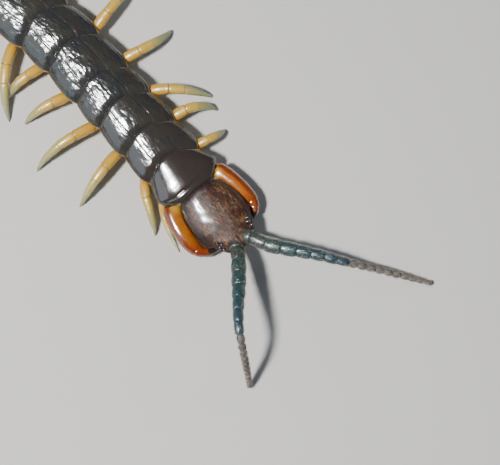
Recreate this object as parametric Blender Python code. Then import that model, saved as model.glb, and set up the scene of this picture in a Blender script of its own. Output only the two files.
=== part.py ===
"""A giant centipede at life size, standing still on its legs.

The animal looks along +X, its left side is +Y and the floor is z = 0. It is measured along its
midline: s is the distance back from the joint between head and trunk, u is the distance to the
animal's left of the midline, and z is the height. All sizes below are in millimetres, and
add_solid turns them into metres.
"""

import math

import bmesh
import bpy
import numpy as np

# General sizes
MM = 0.001
GAP = 0.3
SHARP_ANGLE = math.radians(38)
NECK_X = 71.26
NECK_Y = 4.78

# Trunk: 21 leg-bearing segments, each under one back plate
SEGMENTS = 21
SEGMENTS_IN_A_LENGTH = 3
FRONT_PLATES = (7.1, 6.5, 7.0, 6.1, 8.1, 7.4)
MIDDLE_PLATE = 8.0
LAST_PLATE = 7.1
TAIL_PLATES = 4
LONG_PLATES = (8, 10, 12, 14, 16, 18, 20)
PLATE_CHANGE = 0.45
WIDTH_PAIRS = ((1, 6.3), (2, 6.2), (6, 6.5), (10, 6.85), (17, 6.6), (19, 6.1), (21, 5.2))
TOP_PAIRS = ((0, 7.5), (20, 8.0), (125, 8.0), (160, 6.8))
RIM_PAIRS = ((0, 4.9), (20, 5.0), (125, 5.0), (160, 4.6))
BELLY = 1.6
RIM_THICK = 0.35
RIM_INSET = 0.97
RIM_SLOPE = 0.1
WALL_SHARE = 0.8
BELLY_SHARES = (1.0, 0.76, 0.35)
BELLY_RISES = (0.7, 0.12, 0.0)
DOME_ROUND = 2.0
DOME_LIFT = 1.4
BACK_POINTS = 11

# Rings along one back plate: share of its length, share of its width, drop of its top
PLATE_RINGS = (
    (0.0, 0.88, 0.5),
    (0.13, 0.965, 0.12),
    (0.35, 1.0, 0.0),
    (0.76, 0.975, 0.0),
    (1.0, 0.92, 0.04),
)

# Rings of the first plate, whose front corners are cut back for the fangs:
# s, half width, drop of its top, and how far it runs back for each millimetre outwards
FIRST_PLATE_RINGS = (
    (0.3, 5.9, 0.45, 0.45),
    (1.3, 6.5, 0.12, 0.3),
    (2.5, 6.6, 0.0, 0.1),
    (4.7, 6.1, 0.0, 0.0),
    (7.1, 5.25, 0.04, 0.0),
)
CORNER_START = 3.3

# Midline: straight from the head to the fifth plate, then one slow curve to the right and back
BEND_START = 32.0
BEND_LENGTH = 128.0
BEND_SWING = 0.3
MIDLINE_STEP = 0.1
MIDLINE_SPARE = 2.0

# How far the left side of a segment is ahead of its middle, for each millimetre outwards
LEAN_PAIRS = ((0, 0.0), (6, 0.08), (44, 0.08), (64, 0.0))

# Head plate, from its rear edge to its front: x, half width, underside, edge and top heights
HEAD_RINGS = (
    (0.0, 3.7, 5.1, 5.6, 7.35),
    (0.5, 4.1, 4.9, 5.5, 7.55),
    (1.8, 4.75, 4.7, 5.35, 7.7),
    (3.6, 5.2, 4.7, 5.3, 7.75),
    (6.0, 5.4, 4.7, 5.3, 7.7),
    (8.2, 5.1, 4.7, 5.3, 7.5),
    (10.2, 4.4, 4.75, 5.3, 7.15),
    (11.8, 3.55, 4.85, 5.35, 6.75),
    (12.8, 2.6, 5.0, 5.45, 6.35),
    (13.3, 1.6, 5.2, 5.6, 6.1),
)
HEAD_ROUND = 2.1
HEAD_LIFT = 1.5
HEAD_POINTS = 11
HEAD_UNDER_SHARES = (-0.82, -0.4, 0.0, 0.4, 0.82)
HEAD_UNDER_RISES = (0.15, 0.0, 0.0, 0.0, 0.15)
EYE_PLACES = ((11.35, 3.35), (10.75, 3.75), (10.45, 3.15), (9.85, 3.6))
EYE_RADIUS = 0.32
EYE_RISE = 0.12
EYE_RINGS = 3
EYE_SIDES = 7

# Rings of an antenna's socket: distance in front of the antenna's root, and share of its radius
SOCKET_RINGS = ((-1.6, 0.7), (-0.5, 1.0), (0.0, 0.94))
SOCKET_RADIUS = 1.45
SOCKET_SIDES = 10

# Fangs, as centre points (x, u, z) from the root to the tip, with half widths and half heights.
# The left one lies closer to the head than the right one.
LEFT_FANG = (
    (-0.6, 5.3, 4.15),
    (1.8, 6.0, 3.9),
    (5.2, 6.45, 3.65),
    (7.8, 6.45, 3.38),
    (9.3, 5.7, 3.1),
    (10.0, 4.4, 2.8),
    (10.1, 2.9, 2.5),
    (9.6, 1.5, 2.35),
)
RIGHT_FANG = (
    (-0.7, -5.3, 4.2),
    (1.8, -6.35, 4.0),
    (5.4, -7.0, 3.8),
    (7.9, -6.85, 3.5),
    (9.3, -5.95, 3.15),
    (10.0, -4.6, 2.8),
    (10.1, -3.0, 2.5),
    (9.6, -1.5, 2.35),
)
FANG_WIDTHS = (1.7, 1.65, 1.6, 1.53, 1.26, 0.8, 0.47, 0.16)
FANG_HEIGHTS = (1.45, 1.6, 1.62, 1.48, 1.2, 0.8, 0.5, 0.16)
FANG_RINGS = 13
FANG_SIDES = 12

# Plate that carries the fangs, under the head: x, half width, lowest and highest
FANG_PLATE_RINGS = (
    (0.3, 2.9, 2.1, 4.0),
    (1.2, 3.7, 1.9, 4.2),
    (3.2, 4.6, 1.8, 4.3),
    (5.4, 4.4, 1.9, 4.2),
    (6.6, 3.4, 2.2, 3.9),
)
FANG_PLATE_SIDES = 14
TOOTH_PLACES = (0.55, 1.15, 1.75, 2.3)
TOOTH_RADIUS = 0.32
TOOTH_ROOT = 1.0
TOOTH_LENGTH = 0.7
TOOTH_SHARES = (0.95, 0.9, 0.4)
TOOTH_HEIGHT_SHARE = 1.4
TOOTH_SIDES = 6

# Mouthparts between the fangs
MOUTH_CENTRE = (9.6, 0.0, 3.85)
MOUTH_RADII = (2.1, 2.3, 0.5)
MOUTH_RINGS = 5
MOUTH_SIDES = 12
PALP_POINTS = ((7.3, 3.1, 3.85), (9.4, 2.5, 3.9), (11.2, 1.5, 3.95), (12.4, 0.7, 4.0))
PALP_RADII = (0.5, 0.5, 0.4, 0.25)
PALP_RINGS = 6
PALP_FLATNESS = 0.85

# Antennae, as points (x, u, z) that a smooth curve passes through
LEFT_ANTENNA = (
    (13.0, 1.7, 5.75),
    (16.4, 3.3, 6.4),
    (20.5, 6.4, 6.6),
    (23.8, 8.85, 6.3),
    (27.0, 11.1, 5.6),
    (31.9, 14.8, 3.7),
    (35.8, 17.7, 2.3),
    (40.5, 21.1, 0.7),
)
RIGHT_ANTENNA = (
    (13.0, -1.7, 5.75),
    (15.0, -3.05, 7.6),
    (18.3, -5.9, 9.9),
    (21.45, -8.8, 12.3),
    (23.95, -10.85, 13.6),
    (26.4, -12.4, 12.9),
    (28.7, -13.7, 9.6),
    (30.8, -14.9, 5.0),
    (32.6, -16.0, 0.7),
)
# Their articles: seven long ones, then ten round beads. Pairs of an article's number and its
# length, its radius, and the share of that radius left at the joint behind it
ARTICLES = 17
ARTICLE_LENGTHS = ((0, 2.85), (2, 2.8), (6, 2.2), (7, 1.75), (16, 1.5))
ARTICLE_RADII = ((0, 1.32), (1, 1.4), (2, 1.35), (4, 1.08), (6, 0.86), (7, 0.75), (12, 0.66), (16, 0.48))
JOINT_SHARES = ((0, 0.85), (6, 0.82), (7, 0.66), (16, 0.66))
BULGE_SHARES = (0.28, 0.76)
ANTENNA_TIP_SHARE = 0.4
ANTENNA_SIDES = 8

# Walking legs
LEG_ROOT_BACK = 1.0
LEG_ROOT_Z = 3.2
LEG_SIDES = 8
LEG_RINGS = (
    (0.0, 0.88),
    (0.15, 1.03),
    (0.29, 0.78),
    (0.33, 0.96),
    (0.5, 0.86),
    (0.53, 0.7),
    (0.57, 0.86),
    (0.75, 0.58),
    (0.79, 0.62),
    (0.93, 0.34),
    (1.0, 0.2),
)
WAVE_OUT_SHARE = 0.3
LEG_ARCH_POWER = 1.3
WAVE_BOW = 0.45
FLOOR_MARGIN = 0.06
PATH_POINTS = 121

# Legs that the pose fixes: the root's distance behind the front of its back plate, the foot's x
# and u, the bow to the rear, and the arch above the straight line from root to foot
LEFT_LEGS = {
    1: (2.8, 3.9, 6.6, 0.0, -0.9),
    2: (-0.2, -5.75, 11.85, -0.4, 2.4),
    3: (0.1, -9.35, 13.3, 0.75, 2.4),
    4: (-0.35, -11.85, 14.3, 0.2, 2.3),
    5: (1.15, -26.4, 17.0, -0.7, 2.5),
    6: (0.45, -37.1, 18.25, 0.15, 2.9),
}
RIGHT_LEGS = {
    1: (2.95, 5.85, -9.3, 0.3, -0.3),
    2: (0.4, 0.65, -10.65, -0.1, 2.0),
    3: (0.9, -12.55, -17.5, 0.05, 2.8),
    4: (0.5, -22.7, -19.05, 0.6, 3.0),
    5: (1.75, -30.9, -15.05, 0.3, 2.35),
    6: (1.3, -36.4, -14.75, 0.45, 2.3),
    7: (1.25, -33.1, -16.85, 0.75, 2.6),
}
KNOWN_OUT_SHARE = 0.15

# The other feet follow a walking wave: forward swing in degrees, and reach from the root
SWING = 26.0
WAVE_LENGTH = 8.0
LEFT_WAVE_START = 4.0
RIGHT_WAVE_START = 7.0
REAR_TURN = 28.0
TURN_FROM = 8
REACH_PAIRS = ((6, 12.6), (15, 13.0), (20, 14.2))
WAVE_ARCH = 3.0

# The first pair is short and thin and starts lower, to clear the fangs
FIRST_LEG_ROOT_Z = 2.9
LEG_SCALES = {1: 0.62, 2: 0.88}

# Last legs, which trail behind in a V: distance back and outwards from the root, and height
LAST_LEG_ROOT_U = 2.75
LAST_LEG_ROOT_Z = 3.35
LAST_LEG_POINTS = ((7.0, 1.9, 4.3), (13.5, 5.0, 4.2), (20.5, 7.4, 2.4), (26.0, 7.9, 0.0))
LAST_LEG_SCALE = 1.32
SPINE_SHARES = (0.06, 0.11, 0.16, 0.21)
SPINE_TILTS = (-15.0, -45.0)
SPINE_ROOT_SHARE = 0.45
SPINE_RADIUS = 0.3
SPINE_RADIUS_SHARES = (1.0, 0.8, 0.2)
SPINE_LENGTH = 0.75
SPINE_SIDES = 6

# Pointed lobes of the last segment, between the last legs: rings as share of length and of radius
LOBE_U = 0.85
LOBE_Z = 3.1
LOBE_RADIUS = 0.62
LOBE_LENGTH = 2.0
LOBE_ROOT = 1.2
LOBE_RINGS = ((0.0, 1.0), (0.4, 1.0), (0.75, 0.6), (1.0, 0.12))

# Looks: colour, roughness and gloss coat
FINISHES = {
    "back_plate": ((0.028, 0.03, 0.034), 0.3, 0.4),
    "head_plate": ((0.07, 0.03, 0.018), 0.4, 0.3),
    "fang_amber": ((0.55, 0.17, 0.02), 0.22, 0.5),
    "leg_yellow": ((0.62, 0.45, 0.14), 0.4, 0.2),
    "antenna_teal": ((0.05, 0.11, 0.13), 0.4, 0.2),
}


def clear_scene():
    for old in list(bpy.data.objects):
        bpy.data.objects.remove(old, do_unlink=True)


def make_material(name, colour, roughness, coat):
    material = bpy.data.materials.new(name)
    material.use_nodes = True
    shader = material.node_tree.nodes["Principled BSDF"]
    shader.inputs["Base Color"].default_value = (*colour, 1.0)
    shader.inputs["Roughness"].default_value = roughness
    shader.inputs["Metallic"].default_value = 0.0
    shader.inputs["Coat Weight"].default_value = coat
    material.diffuse_color = (*colour, 1.0)
    return material


def plate_lengths():
    """The length of each back plate. Those over breathing holes are the longer ones."""
    lengths = list(FRONT_PLATES)
    for number in range(len(FRONT_PLATES) + 1, SEGMENTS + 1):
        mean = MIDDLE_PLATE
        if number > SEGMENTS - TAIL_PLATES:
            mean -= (MIDDLE_PLATE - LAST_PLATE) * (number - SEGMENTS + TAIL_PLATES) / TAIL_PLATES
        lengths.append(mean + (PLATE_CHANGE if number in LONG_PLATES else -PLATE_CHANGE))
    return lengths


PLATE_ENDS = np.concatenate([[0.0], np.cumsum(plate_lengths())])
TRUNK_END = float(PLATE_ENDS[-1])


def read_pairs(pairs, value):
    """The value between pairs of (place, size), joined by straight lines."""
    places, sizes = zip(*pairs)
    return np.interp(value, places, sizes)


def midline():
    """Points every MIDLINE_STEP along the midline: its s, its x and y, and its heading."""
    s = np.arange(0.0, TRUNK_END + MIDLINE_SPARE, MIDLINE_STEP)
    turn = BEND_SWING * np.sin(2 * math.pi * (s - BEND_START) / BEND_LENGTH)
    heading = np.where(s > BEND_START, turn, 0.0)
    x = -np.concatenate([[0.0], np.cumsum(np.cos(heading[:-1]))]) * MIDLINE_STEP
    y = -np.concatenate([[0.0], np.cumsum(np.sin(heading[:-1]))]) * MIDLINE_STEP
    return s, x, y, heading


MIDLINE = midline()


def axes_at(s):
    """The forward and the left direction of the midline at s."""
    heading = np.interp(s, MIDLINE[0], MIDLINE[3])
    forward = np.stack([np.cos(heading), np.sin(heading), np.zeros_like(heading)], axis=-1)
    left = np.stack([-np.sin(heading), np.cos(heading), np.zeros_like(heading)], axis=-1)
    return forward, left


def place(s, u, z):
    """The point at s along the midline, u to its left and z above the floor. The front segments
    lean, with their left side a little ahead of their right side."""
    s, u, z = np.broadcast_arrays(np.asarray(s, float), u, z)
    x = np.where(s < 0, -s, np.interp(s, MIDLINE[0], MIDLINE[1])) + read_pairs(LEAN_PAIRS, s) * u
    y = np.interp(s, MIDLINE[0], MIDLINE[2])
    points = np.stack([x, y, z], axis=-1)
    return points + axes_at(s)[1] * u[..., None]


def tube_mesh(rings):
    """A closed mesh through rings of points, with a fan of faces over each end."""
    count, sides, _ = rings.shape
    centres = np.array([rings[0].mean(axis=0), rings[-1].mean(axis=0)])
    points = np.concatenate([rings.reshape(-1, 3), centres])
    around = np.arange(sides)
    following = (around + 1) % sides
    starts = np.arange(count - 1)[:, None] * sides
    corners = (starts + around, starts + following, starts + sides + following, starts + sides + around)
    quads = np.stack(corners, axis=-1).reshape(-1, 4)
    last = (count - 1) * sides
    front_fan = np.stack([following, around, np.full(sides, count * sides)], axis=-1)
    rear_fan = np.stack([last + around, last + following, np.full(sides, count * sides + 1)], axis=-1)
    return points, quads.tolist() + front_fan.tolist() + rear_fan.tolist()


def add_solid(name, points, faces, material, collection=None):
    """One closed object from points in millimetres, with its faces pointing out."""
    at_origin = (np.asarray(points) + (NECK_X, NECK_Y, 0.0)) * MM
    mesh = bpy.data.meshes.new(name)
    mesh.from_pydata(at_origin.tolist(), [], faces)
    shape = bmesh.new()
    shape.from_mesh(mesh)
    if shape.calc_volume(signed=True) < 0:
        bmesh.ops.reverse_faces(shape, faces=shape.faces)
    shape.to_mesh(mesh)
    shape.free()
    finish_mesh(mesh, material)
    solid = bpy.data.objects.new(name, mesh)
    (collection or bpy.context.scene.collection).objects.link(solid)
    return solid


def finish_mesh(mesh, material):
    mesh.materials.clear()
    mesh.materials.append(material)
    mesh.shade_smooth()
    mesh.set_sharp_from_angle(angle=SHARP_ANGLE)


def keep_largest_surface(mesh):
    """Delete every closed surface but the largest one."""
    shape = bmesh.new()
    shape.from_mesh(mesh)
    waiting = set(shape.verts)
    surfaces = []
    while waiting:
        surface = set()
        edge = [waiting.pop()]
        while edge:
            vertex = edge.pop()
            surface.add(vertex)
            near = {link.other_vert(vertex) for link in vertex.link_edges} & waiting
            waiting -= near
            edge.extend(near)
        surfaces.append(surface)
    largest = max(surfaces, key=len)
    scraps = [vertex for surface in surfaces if surface is not largest for vertex in surface]
    bmesh.ops.delete(shape, geom=scraps, context="VERTS")
    shape.to_mesh(mesh)
    shape.free()


def fuse(body, add_pieces, material):
    """Join the pieces that add_pieces makes in a collection to the body, as one closed solid."""
    pieces = bpy.data.collections.new(body.name + "_pieces")
    bpy.context.scene.collection.children.link(pieces)
    add_pieces(pieces)
    union = body.modifiers.new("union", "BOOLEAN")
    union.operation = "UNION"
    union.operand_type = "COLLECTION"
    union.collection = pieces
    union.solver = "EXACT"
    graph = bpy.context.evaluated_depsgraph_get()
    joined = bpy.data.meshes.new_from_object(body.evaluated_get(graph))
    body.modifiers.clear()
    body.data = joined
    keep_largest_surface(joined)
    finish_mesh(joined, material)
    for piece in list(pieces.objects):
        bpy.data.objects.remove(piece, do_unlink=True)
    bpy.data.collections.remove(pieces)


def smooth_path(points, count):
    """Evenly spaced points on a Catmull-Rom curve through the given points."""
    points = np.asarray(points, float)
    ends = (2 * points[0] - points[1], 2 * points[-1] - points[-2])
    padded = np.vstack([ends[0], points, ends[1]])
    t = np.linspace(0, len(points) - 1, PATH_POINTS)
    first = np.minimum(t.astype(int), len(points) - 2)
    f = (t - first)[:, None]
    before, start, end, after = (padded[first + shift] for shift in range(4))
    curve = 0.5 * (
        2 * start
        + (end - before) * f
        + (2 * before - 5 * start + 4 * end - after) * f**2
        + (3 * start - before - 3 * end + after) * f**3
    )
    return spread_evenly(curve, np.linspace(0, 1, count))


def spread_evenly(curve, shares):
    """The points at the given shares of a curve's length."""
    steps = np.linalg.norm(np.diff(curve, axis=0), axis=1)
    length = np.concatenate([[0.0], np.cumsum(steps)])
    wanted = np.asarray(shares) * length[-1]
    return np.stack([np.interp(wanted, length, curve[:, axis]) for axis in range(3)], axis=-1)


def path_axes(path):
    """For each point of a path: its direction, a level sideways direction and the one above both."""
    along = np.gradient(path, axis=0)
    along /= np.linalg.norm(along, axis=1)[:, None]
    side = np.stack([-along[:, 1], along[:, 0], np.zeros(len(path))], axis=-1)
    side /= np.linalg.norm(side, axis=1)[:, None]
    return along, side, np.cross(along, side)


def round_rings(centres, side, above, widths, heights, sides):
    """Elliptical rings round the centres, in the planes of side and above."""
    angle = np.linspace(0, 2 * math.pi, sides, endpoint=False)[None, :, None]
    across = side[:, None, :] * np.reshape(widths, (-1, 1, 1)) * np.cos(angle)
    upright = above[:, None, :] * np.reshape(heights, (-1, 1, 1)) * np.sin(angle)
    return centres[:, None, :] + across + upright


def trunk_outline(half_width, wall, top, rim):
    """The body's outline in u and z: over the back from left to right, then under the belly."""
    angle = np.linspace(0, math.pi, BACK_POINTS)
    across = np.cos(angle)
    back_u = half_width * np.sign(across) * np.abs(across) ** (2 / DOME_ROUND)
    back_z = rim + (top - rim) * np.abs(np.sin(angle)) ** (2 / DOME_LIFT)
    rim_base = rim - RIM_THICK
    under_u = np.array([-RIM_INSET * half_width, -wall, *(-wall * np.array(BELLY_SHARES))])
    under_z = np.array([rim_base, rim_base - RIM_SLOPE, *(BELLY + np.array(BELLY_RISES))])
    u = np.concatenate([back_u, under_u, -under_u[::-1]])
    z = np.concatenate([back_z, under_z, under_z[::-1]])
    return u, z


def trunk_ring(s, half_width, drop, sweep=0.0):
    """One ring of the trunk at s, with its sides run back by sweep beyond CORNER_START."""
    wall = WALL_SHARE * read_pairs(WIDTH_PAIRS, plate_number(s))
    top = read_pairs(TOP_PAIRS, s) - drop
    u, z = trunk_outline(half_width, wall, top, read_pairs(RIM_PAIRS, s))
    return place(s + sweep * np.maximum(0.0, np.abs(u) - CORNER_START), u, z)


def plate_number(s):
    """The number of the back plate at s, rising evenly from one plate's middle to the next."""
    middles = (PLATE_ENDS[:-1] + PLATE_ENDS[1:]) / 2
    return np.interp(s, middles, np.arange(1, SEGMENTS + 1))


def plate_rings(number, start, end):
    """The rings of one back plate, from its low front to its raised rear edge."""
    if number == 1:
        sizes = [(min(s, end), width, drop, sweep) for s, width, drop, sweep in FIRST_PLATE_RINGS]
    else:
        width = read_pairs(WIDTH_PAIRS, number)
        length = end - start
        sizes = [(start + share * length, width * wide, drop) for share, wide, drop in PLATE_RINGS]
    return [trunk_ring(*size) for size in sizes]


def add_trunk(material):
    """The trunk in lengths of a few segments, each a solid of its own."""
    lengths = []
    for first in range(1, SEGMENTS + 1, SEGMENTS_IN_A_LENGTH):
        last = first + SEGMENTS_IN_A_LENGTH - 1
        rings = []
        for number in range(first, last + 1):
            start = PLATE_ENDS[number - 1] + (GAP / 2 if number == first else 0.0)
            end = PLATE_ENDS[number] - (GAP / 2 if number == last else 0.0)
            rings.extend(plate_rings(number, start, end))
        name = f"trunk_{first:02d}_to_{last:02d}"
        lengths.append(add_solid(name, *tube_mesh(np.array(rings)), material))
    fuse(lengths[-1], lambda pieces: add_lobes(pieces, material), material)


def add_lobes(pieces, material):
    """Two pointed lobes that reach back from the last segment."""
    for side in (1, -1):
        shares, sizes = (np.array(column) for column in zip(*LOBE_RINGS))
        s = TRUNK_END - LOBE_ROOT + shares * (LOBE_ROOT + LOBE_LENGTH)
        centres = place(s, side * LOBE_U, LOBE_Z)
        left = axes_at(s)[1]
        radii = LOBE_RADIUS * sizes
        above = np.broadcast_to((0.0, 0.0, 1.0), left.shape)
        rings = round_rings(centres, left, above, radii, radii, LEG_SIDES)
        add_solid("lobe", *tube_mesh(rings), material, pieces)


def head_ring(x, half_width, underside, edge, top):
    """One ring of the head: a low dome over a flatter underside."""
    angle = np.linspace(0, math.pi, HEAD_POINTS)
    across = np.sign(np.cos(angle)) * np.abs(np.cos(angle)) ** (2 / HEAD_ROUND)
    rise = np.abs(np.sin(angle)) ** (2 / HEAD_LIFT)
    under_u = half_width * np.array(HEAD_UNDER_SHARES)
    under_z = underside + (edge - underside) * np.array(HEAD_UNDER_RISES)
    u = np.concatenate([half_width * across, under_u])
    z = np.concatenate([edge + (top - edge) * rise, under_z])
    return place(-x, u, z)


def head_top(x, u):
    """The height of the head's back surface at x and u."""
    xs = [ring[0] for ring in HEAD_RINGS]
    width, edge, top = (np.interp(x, xs, [ring[part] for ring in HEAD_RINGS]) for part in (1, 3, 4))
    share = min(abs(u) / width, 1.0)
    return edge + (top - edge) * (1 - share**HEAD_ROUND) ** (1 / HEAD_LIFT)


def add_ball(name, centre, radii, rings, sides, material, pieces):
    """A small closed ellipsoid."""
    polar = np.linspace(0, math.pi, rings + 2)[1:-1]
    around = np.linspace(0, 2 * math.pi, sides, endpoint=False)
    grid = np.stack(
        [
            np.sin(polar)[:, None] * np.cos(around),
            np.sin(polar)[:, None] * np.sin(around),
            np.cos(polar)[:, None] * np.ones(sides),
        ],
        axis=-1,
    )
    add_solid(name, *tube_mesh(np.array(centre) + grid * radii), material, pieces)


def antenna_path(points):
    return smooth_path(points, PATH_POINTS)


def add_head_pieces(pieces, material):
    """Four simple eyes on each side, and a socket for each antenna."""
    for side in (1, -1):
        for x, u in EYE_PLACES:
            centre = (x, side * u, head_top(x, u) + EYE_RISE - EYE_RADIUS)
            add_ball("eye", centre, (EYE_RADIUS,) * 3, EYE_RINGS, EYE_SIDES, material, pieces)
        antenna = antenna_path(LEFT_ANTENNA if side == 1 else RIGHT_ANTENNA)
        along, level, above = (axis[0] for axis in path_axes(antenna))
        distances, shares = (np.array(column) for column in zip(*SOCKET_RINGS))
        centres = antenna[0] + along * distances[:, None]
        axes = [np.broadcast_to(axis, centres.shape) for axis in (level, above)]
        radii = SOCKET_RADIUS * shares
        rings = round_rings(centres, *axes, radii, radii, SOCKET_SIDES)
        add_solid("socket", *tube_mesh(rings), material, pieces)


def add_head(material):
    rings = np.array([head_ring(*ring) for ring in HEAD_RINGS])
    head = add_solid("head", *tube_mesh(rings), material)
    fuse(head, lambda pieces: add_head_pieces(pieces, material), material)


def add_fang(name, points, material):
    """A poison fang, curving forwards round the head and in under it."""
    path = smooth_path(np.array(points), FANG_RINGS)
    level = path_axes(path)[1]
    above = np.broadcast_to((0.0, 0.0, 1.0), level.shape)
    known = np.linspace(0, 1, len(points))
    shares = np.linspace(0, 1, FANG_RINGS)
    widths = np.interp(shares, known, FANG_WIDTHS)
    heights = np.interp(shares, known, FANG_HEIGHTS)
    add_solid(name, *tube_mesh(round_rings(path, level, above, widths, heights, FANG_SIDES)), material)


def add_teeth(pieces, material):
    """Blunt teeth on the front edge of the fang plate."""
    front = FANG_PLATE_RINGS[-1]
    height = (front[2] + front[3]) / 2
    for side in (1, -1):
        for u in TOOTH_PLACES:
            x = front[0] + np.array([-TOOTH_ROOT, TOOTH_LENGTH / 2, TOOTH_LENGTH])
            centres = place(-x, side * u, height)
            left = np.broadcast_to((0.0, 1.0, 0.0), centres.shape)
            above = np.broadcast_to((0.0, 0.0, 1.0), centres.shape)
            widths = TOOTH_RADIUS * np.array(TOOTH_SHARES)
            rings = round_rings(centres, left, above, widths, widths * TOOTH_HEIGHT_SHARE, TOOTH_SIDES)
            add_solid("tooth", *tube_mesh(rings), material, pieces)


def add_fang_plate(material):
    """The broad plate under the head that carries both fangs."""
    x, half_width, lowest, highest = (np.array(column) for column in zip(*FANG_PLATE_RINGS))
    centres = place(-x, 0.0, (lowest + highest) / 2)
    left = np.broadcast_to((0.0, 1.0, 0.0), centres.shape)
    above = np.broadcast_to((0.0, 0.0, 1.0), centres.shape)
    rings = round_rings(centres, left, above, half_width, (highest - lowest) / 2, FANG_PLATE_SIDES)
    plate = add_solid("fang_plate", *tube_mesh(rings), material)
    fuse(plate, lambda pieces: add_teeth(pieces, material), material)


def add_palps(pieces, material):
    """The two jointed feelers that lie beside the mouth."""
    for side in (1, -1):
        path = smooth_path(np.array(PALP_POINTS) * (1, side, 1), PALP_RINGS)
        shares = np.linspace(0, 1, PALP_RINGS)
        radii = np.interp(shares, np.linspace(0, 1, len(PALP_RADII)), PALP_RADII)
        _, level, above = path_axes(path)
        rings = round_rings(path, level, above, radii, radii * PALP_FLATNESS, LEG_SIDES)
        add_solid("palp", *tube_mesh(rings), material, pieces)


def add_mouthparts(material):
    holder = bpy.context.scene.collection
    add_ball("mouthparts", MOUTH_CENTRE, MOUTH_RADII, MOUTH_RINGS, MOUTH_SIDES, material, holder)
    mouth = bpy.data.objects["mouthparts"]
    fuse(mouth, lambda pieces: add_palps(pieces, material), material)


def add_antenna(name, points, material):
    """A bead chain: each article swells between two narrower joints."""
    path = antenna_path(points)
    numbers = np.arange(ARTICLES)
    lengths = read_pairs(ARTICLE_LENGTHS, numbers)
    first = GAP / np.linalg.norm(np.diff(path, axis=0), axis=1).sum()
    ends = first + (1 - first) * np.concatenate([[0.0], np.cumsum(lengths)]) / lengths.sum()
    within = np.array([0.0, *BULGE_SHARES])
    shares = (ends[:-1, None] + np.diff(ends)[:, None] * within).ravel()
    widest = read_pairs(ARTICLE_RADII, numbers)
    joints = widest * read_pairs(JOINT_SHARES, numbers)
    radii = np.column_stack([joints, widest, widest]).ravel()
    centres = spread_evenly(path, np.append(shares, 1.0))
    radii = np.append(radii, widest[-1] * ANTENNA_TIP_SHARE)
    _, level, above = path_axes(centres)
    rings = round_rings(centres, level, above, radii, radii, ANTENNA_SIDES)
    add_solid(name, *tube_mesh(rings), material)


def leg_path(root, out, foot, out_share, bow, arch, forward):
    """A leg's centre line: straight out at first, bowed to the rear in plan, and arched to the floor."""
    flat = foot - root
    flat[2] = 0.0
    reach = np.linalg.norm(flat)
    rearward = np.cross(flat, (0.0, 0.0, 1.0)) / reach
    rearward *= -np.sign(np.dot(rearward, forward)) or 1.0
    t = np.linspace(0, 1, PATH_POINTS)[:, None]
    first = root + out * reach * out_share
    second = root + flat * 2 / 3 + rearward * bow * 8 / 3
    plan = root * (1 - t) ** 3 + 3 * first * t * (1 - t) ** 2 + 3 * second * t**2 * (1 - t)
    plan += (root + flat) * t**3
    peak = LEG_ARCH_POWER / (1 + LEG_ARCH_POWER)
    bump = t**LEG_ARCH_POWER * (1 - t) / (peak**LEG_ARCH_POWER * (1 - peak))
    plan[:, 2:] = root[2] * (1 - t) + arch * bump
    return plan


def leg_rings(path, root_out, scale):
    """Rings along a leg. The first stands against the body, and the last lies flat on the floor."""
    shares, radii = (np.array(column) for column in zip(*LEG_RINGS))
    radii = radii * scale
    centres = spread_evenly(path, shares)
    along = spread_evenly(np.gradient(path, axis=0), shares)
    along[0] = root_out
    along /= np.linalg.norm(along, axis=1)[:, None]
    level = np.stack([-along[:, 1], along[:, 0], np.zeros(len(along))], axis=-1)
    level /= np.linalg.norm(level, axis=1)[:, None]
    above = np.cross(along, level)
    above[-1] = np.cross(level[-1], (0.0, 0.0, 1.0))
    centres[:-1, 2] = np.maximum(centres[:-1, 2], radii[:-1] + FLOOR_MARGIN)
    centres[-1, 2] = 0.0
    return round_rings(centres, level, above, radii, radii, LEG_SIDES)


def leg_root(number, side, back):
    """Where a leg leaves the body, the gap away from its side wall, and the way out from it."""
    s = PLATE_ENDS[number - 1] + back
    height = FIRST_LEG_ROOT_Z if number == 1 else LEG_ROOT_Z
    wall = WALL_SHARE * read_pairs(WIDTH_PAIRS, plate_number(s))
    forward, left = axes_at(s)
    return place(s, side * (wall + GAP), height), side * left, forward


def wave_foot(number, side, root, out, forward):
    """A foot placed by the walking wave. The rear legs point more and more backwards."""
    start = LEFT_WAVE_START if side == 1 else RIGHT_WAVE_START
    swing = SWING * math.cos(2 * math.pi * (number - start) / WAVE_LENGTH)
    turn = math.radians(swing - REAR_TURN * max(0, number - TURN_FROM) / (SEGMENTS - TURN_FROM))
    reach = read_pairs(REACH_PAIRS, number)
    return root + reach * (math.cos(turn) * out + math.sin(turn) * forward)


def add_leg(number, side, material):
    known = (LEFT_LEGS if side == 1 else RIGHT_LEGS).get(number)
    root, out, forward = leg_root(number, side, known[0] if known else LEG_ROOT_BACK)
    if known:
        _, x, y, bow, arch = known
        path = leg_path(root, out, np.array([x, y, 0.0]), KNOWN_OUT_SHARE, bow, arch, forward)
    else:
        foot = wave_foot(number, side, root, out, forward)
        path = leg_path(root, out, foot, WAVE_OUT_SHARE, WAVE_BOW, WAVE_ARCH, forward)
    rings = leg_rings(path, out, LEG_SCALES.get(number, 1.0))
    name = f"leg_{'left' if side == 1 else 'right'}_{number:02d}"
    add_solid(name, *tube_mesh(rings), material)


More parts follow.
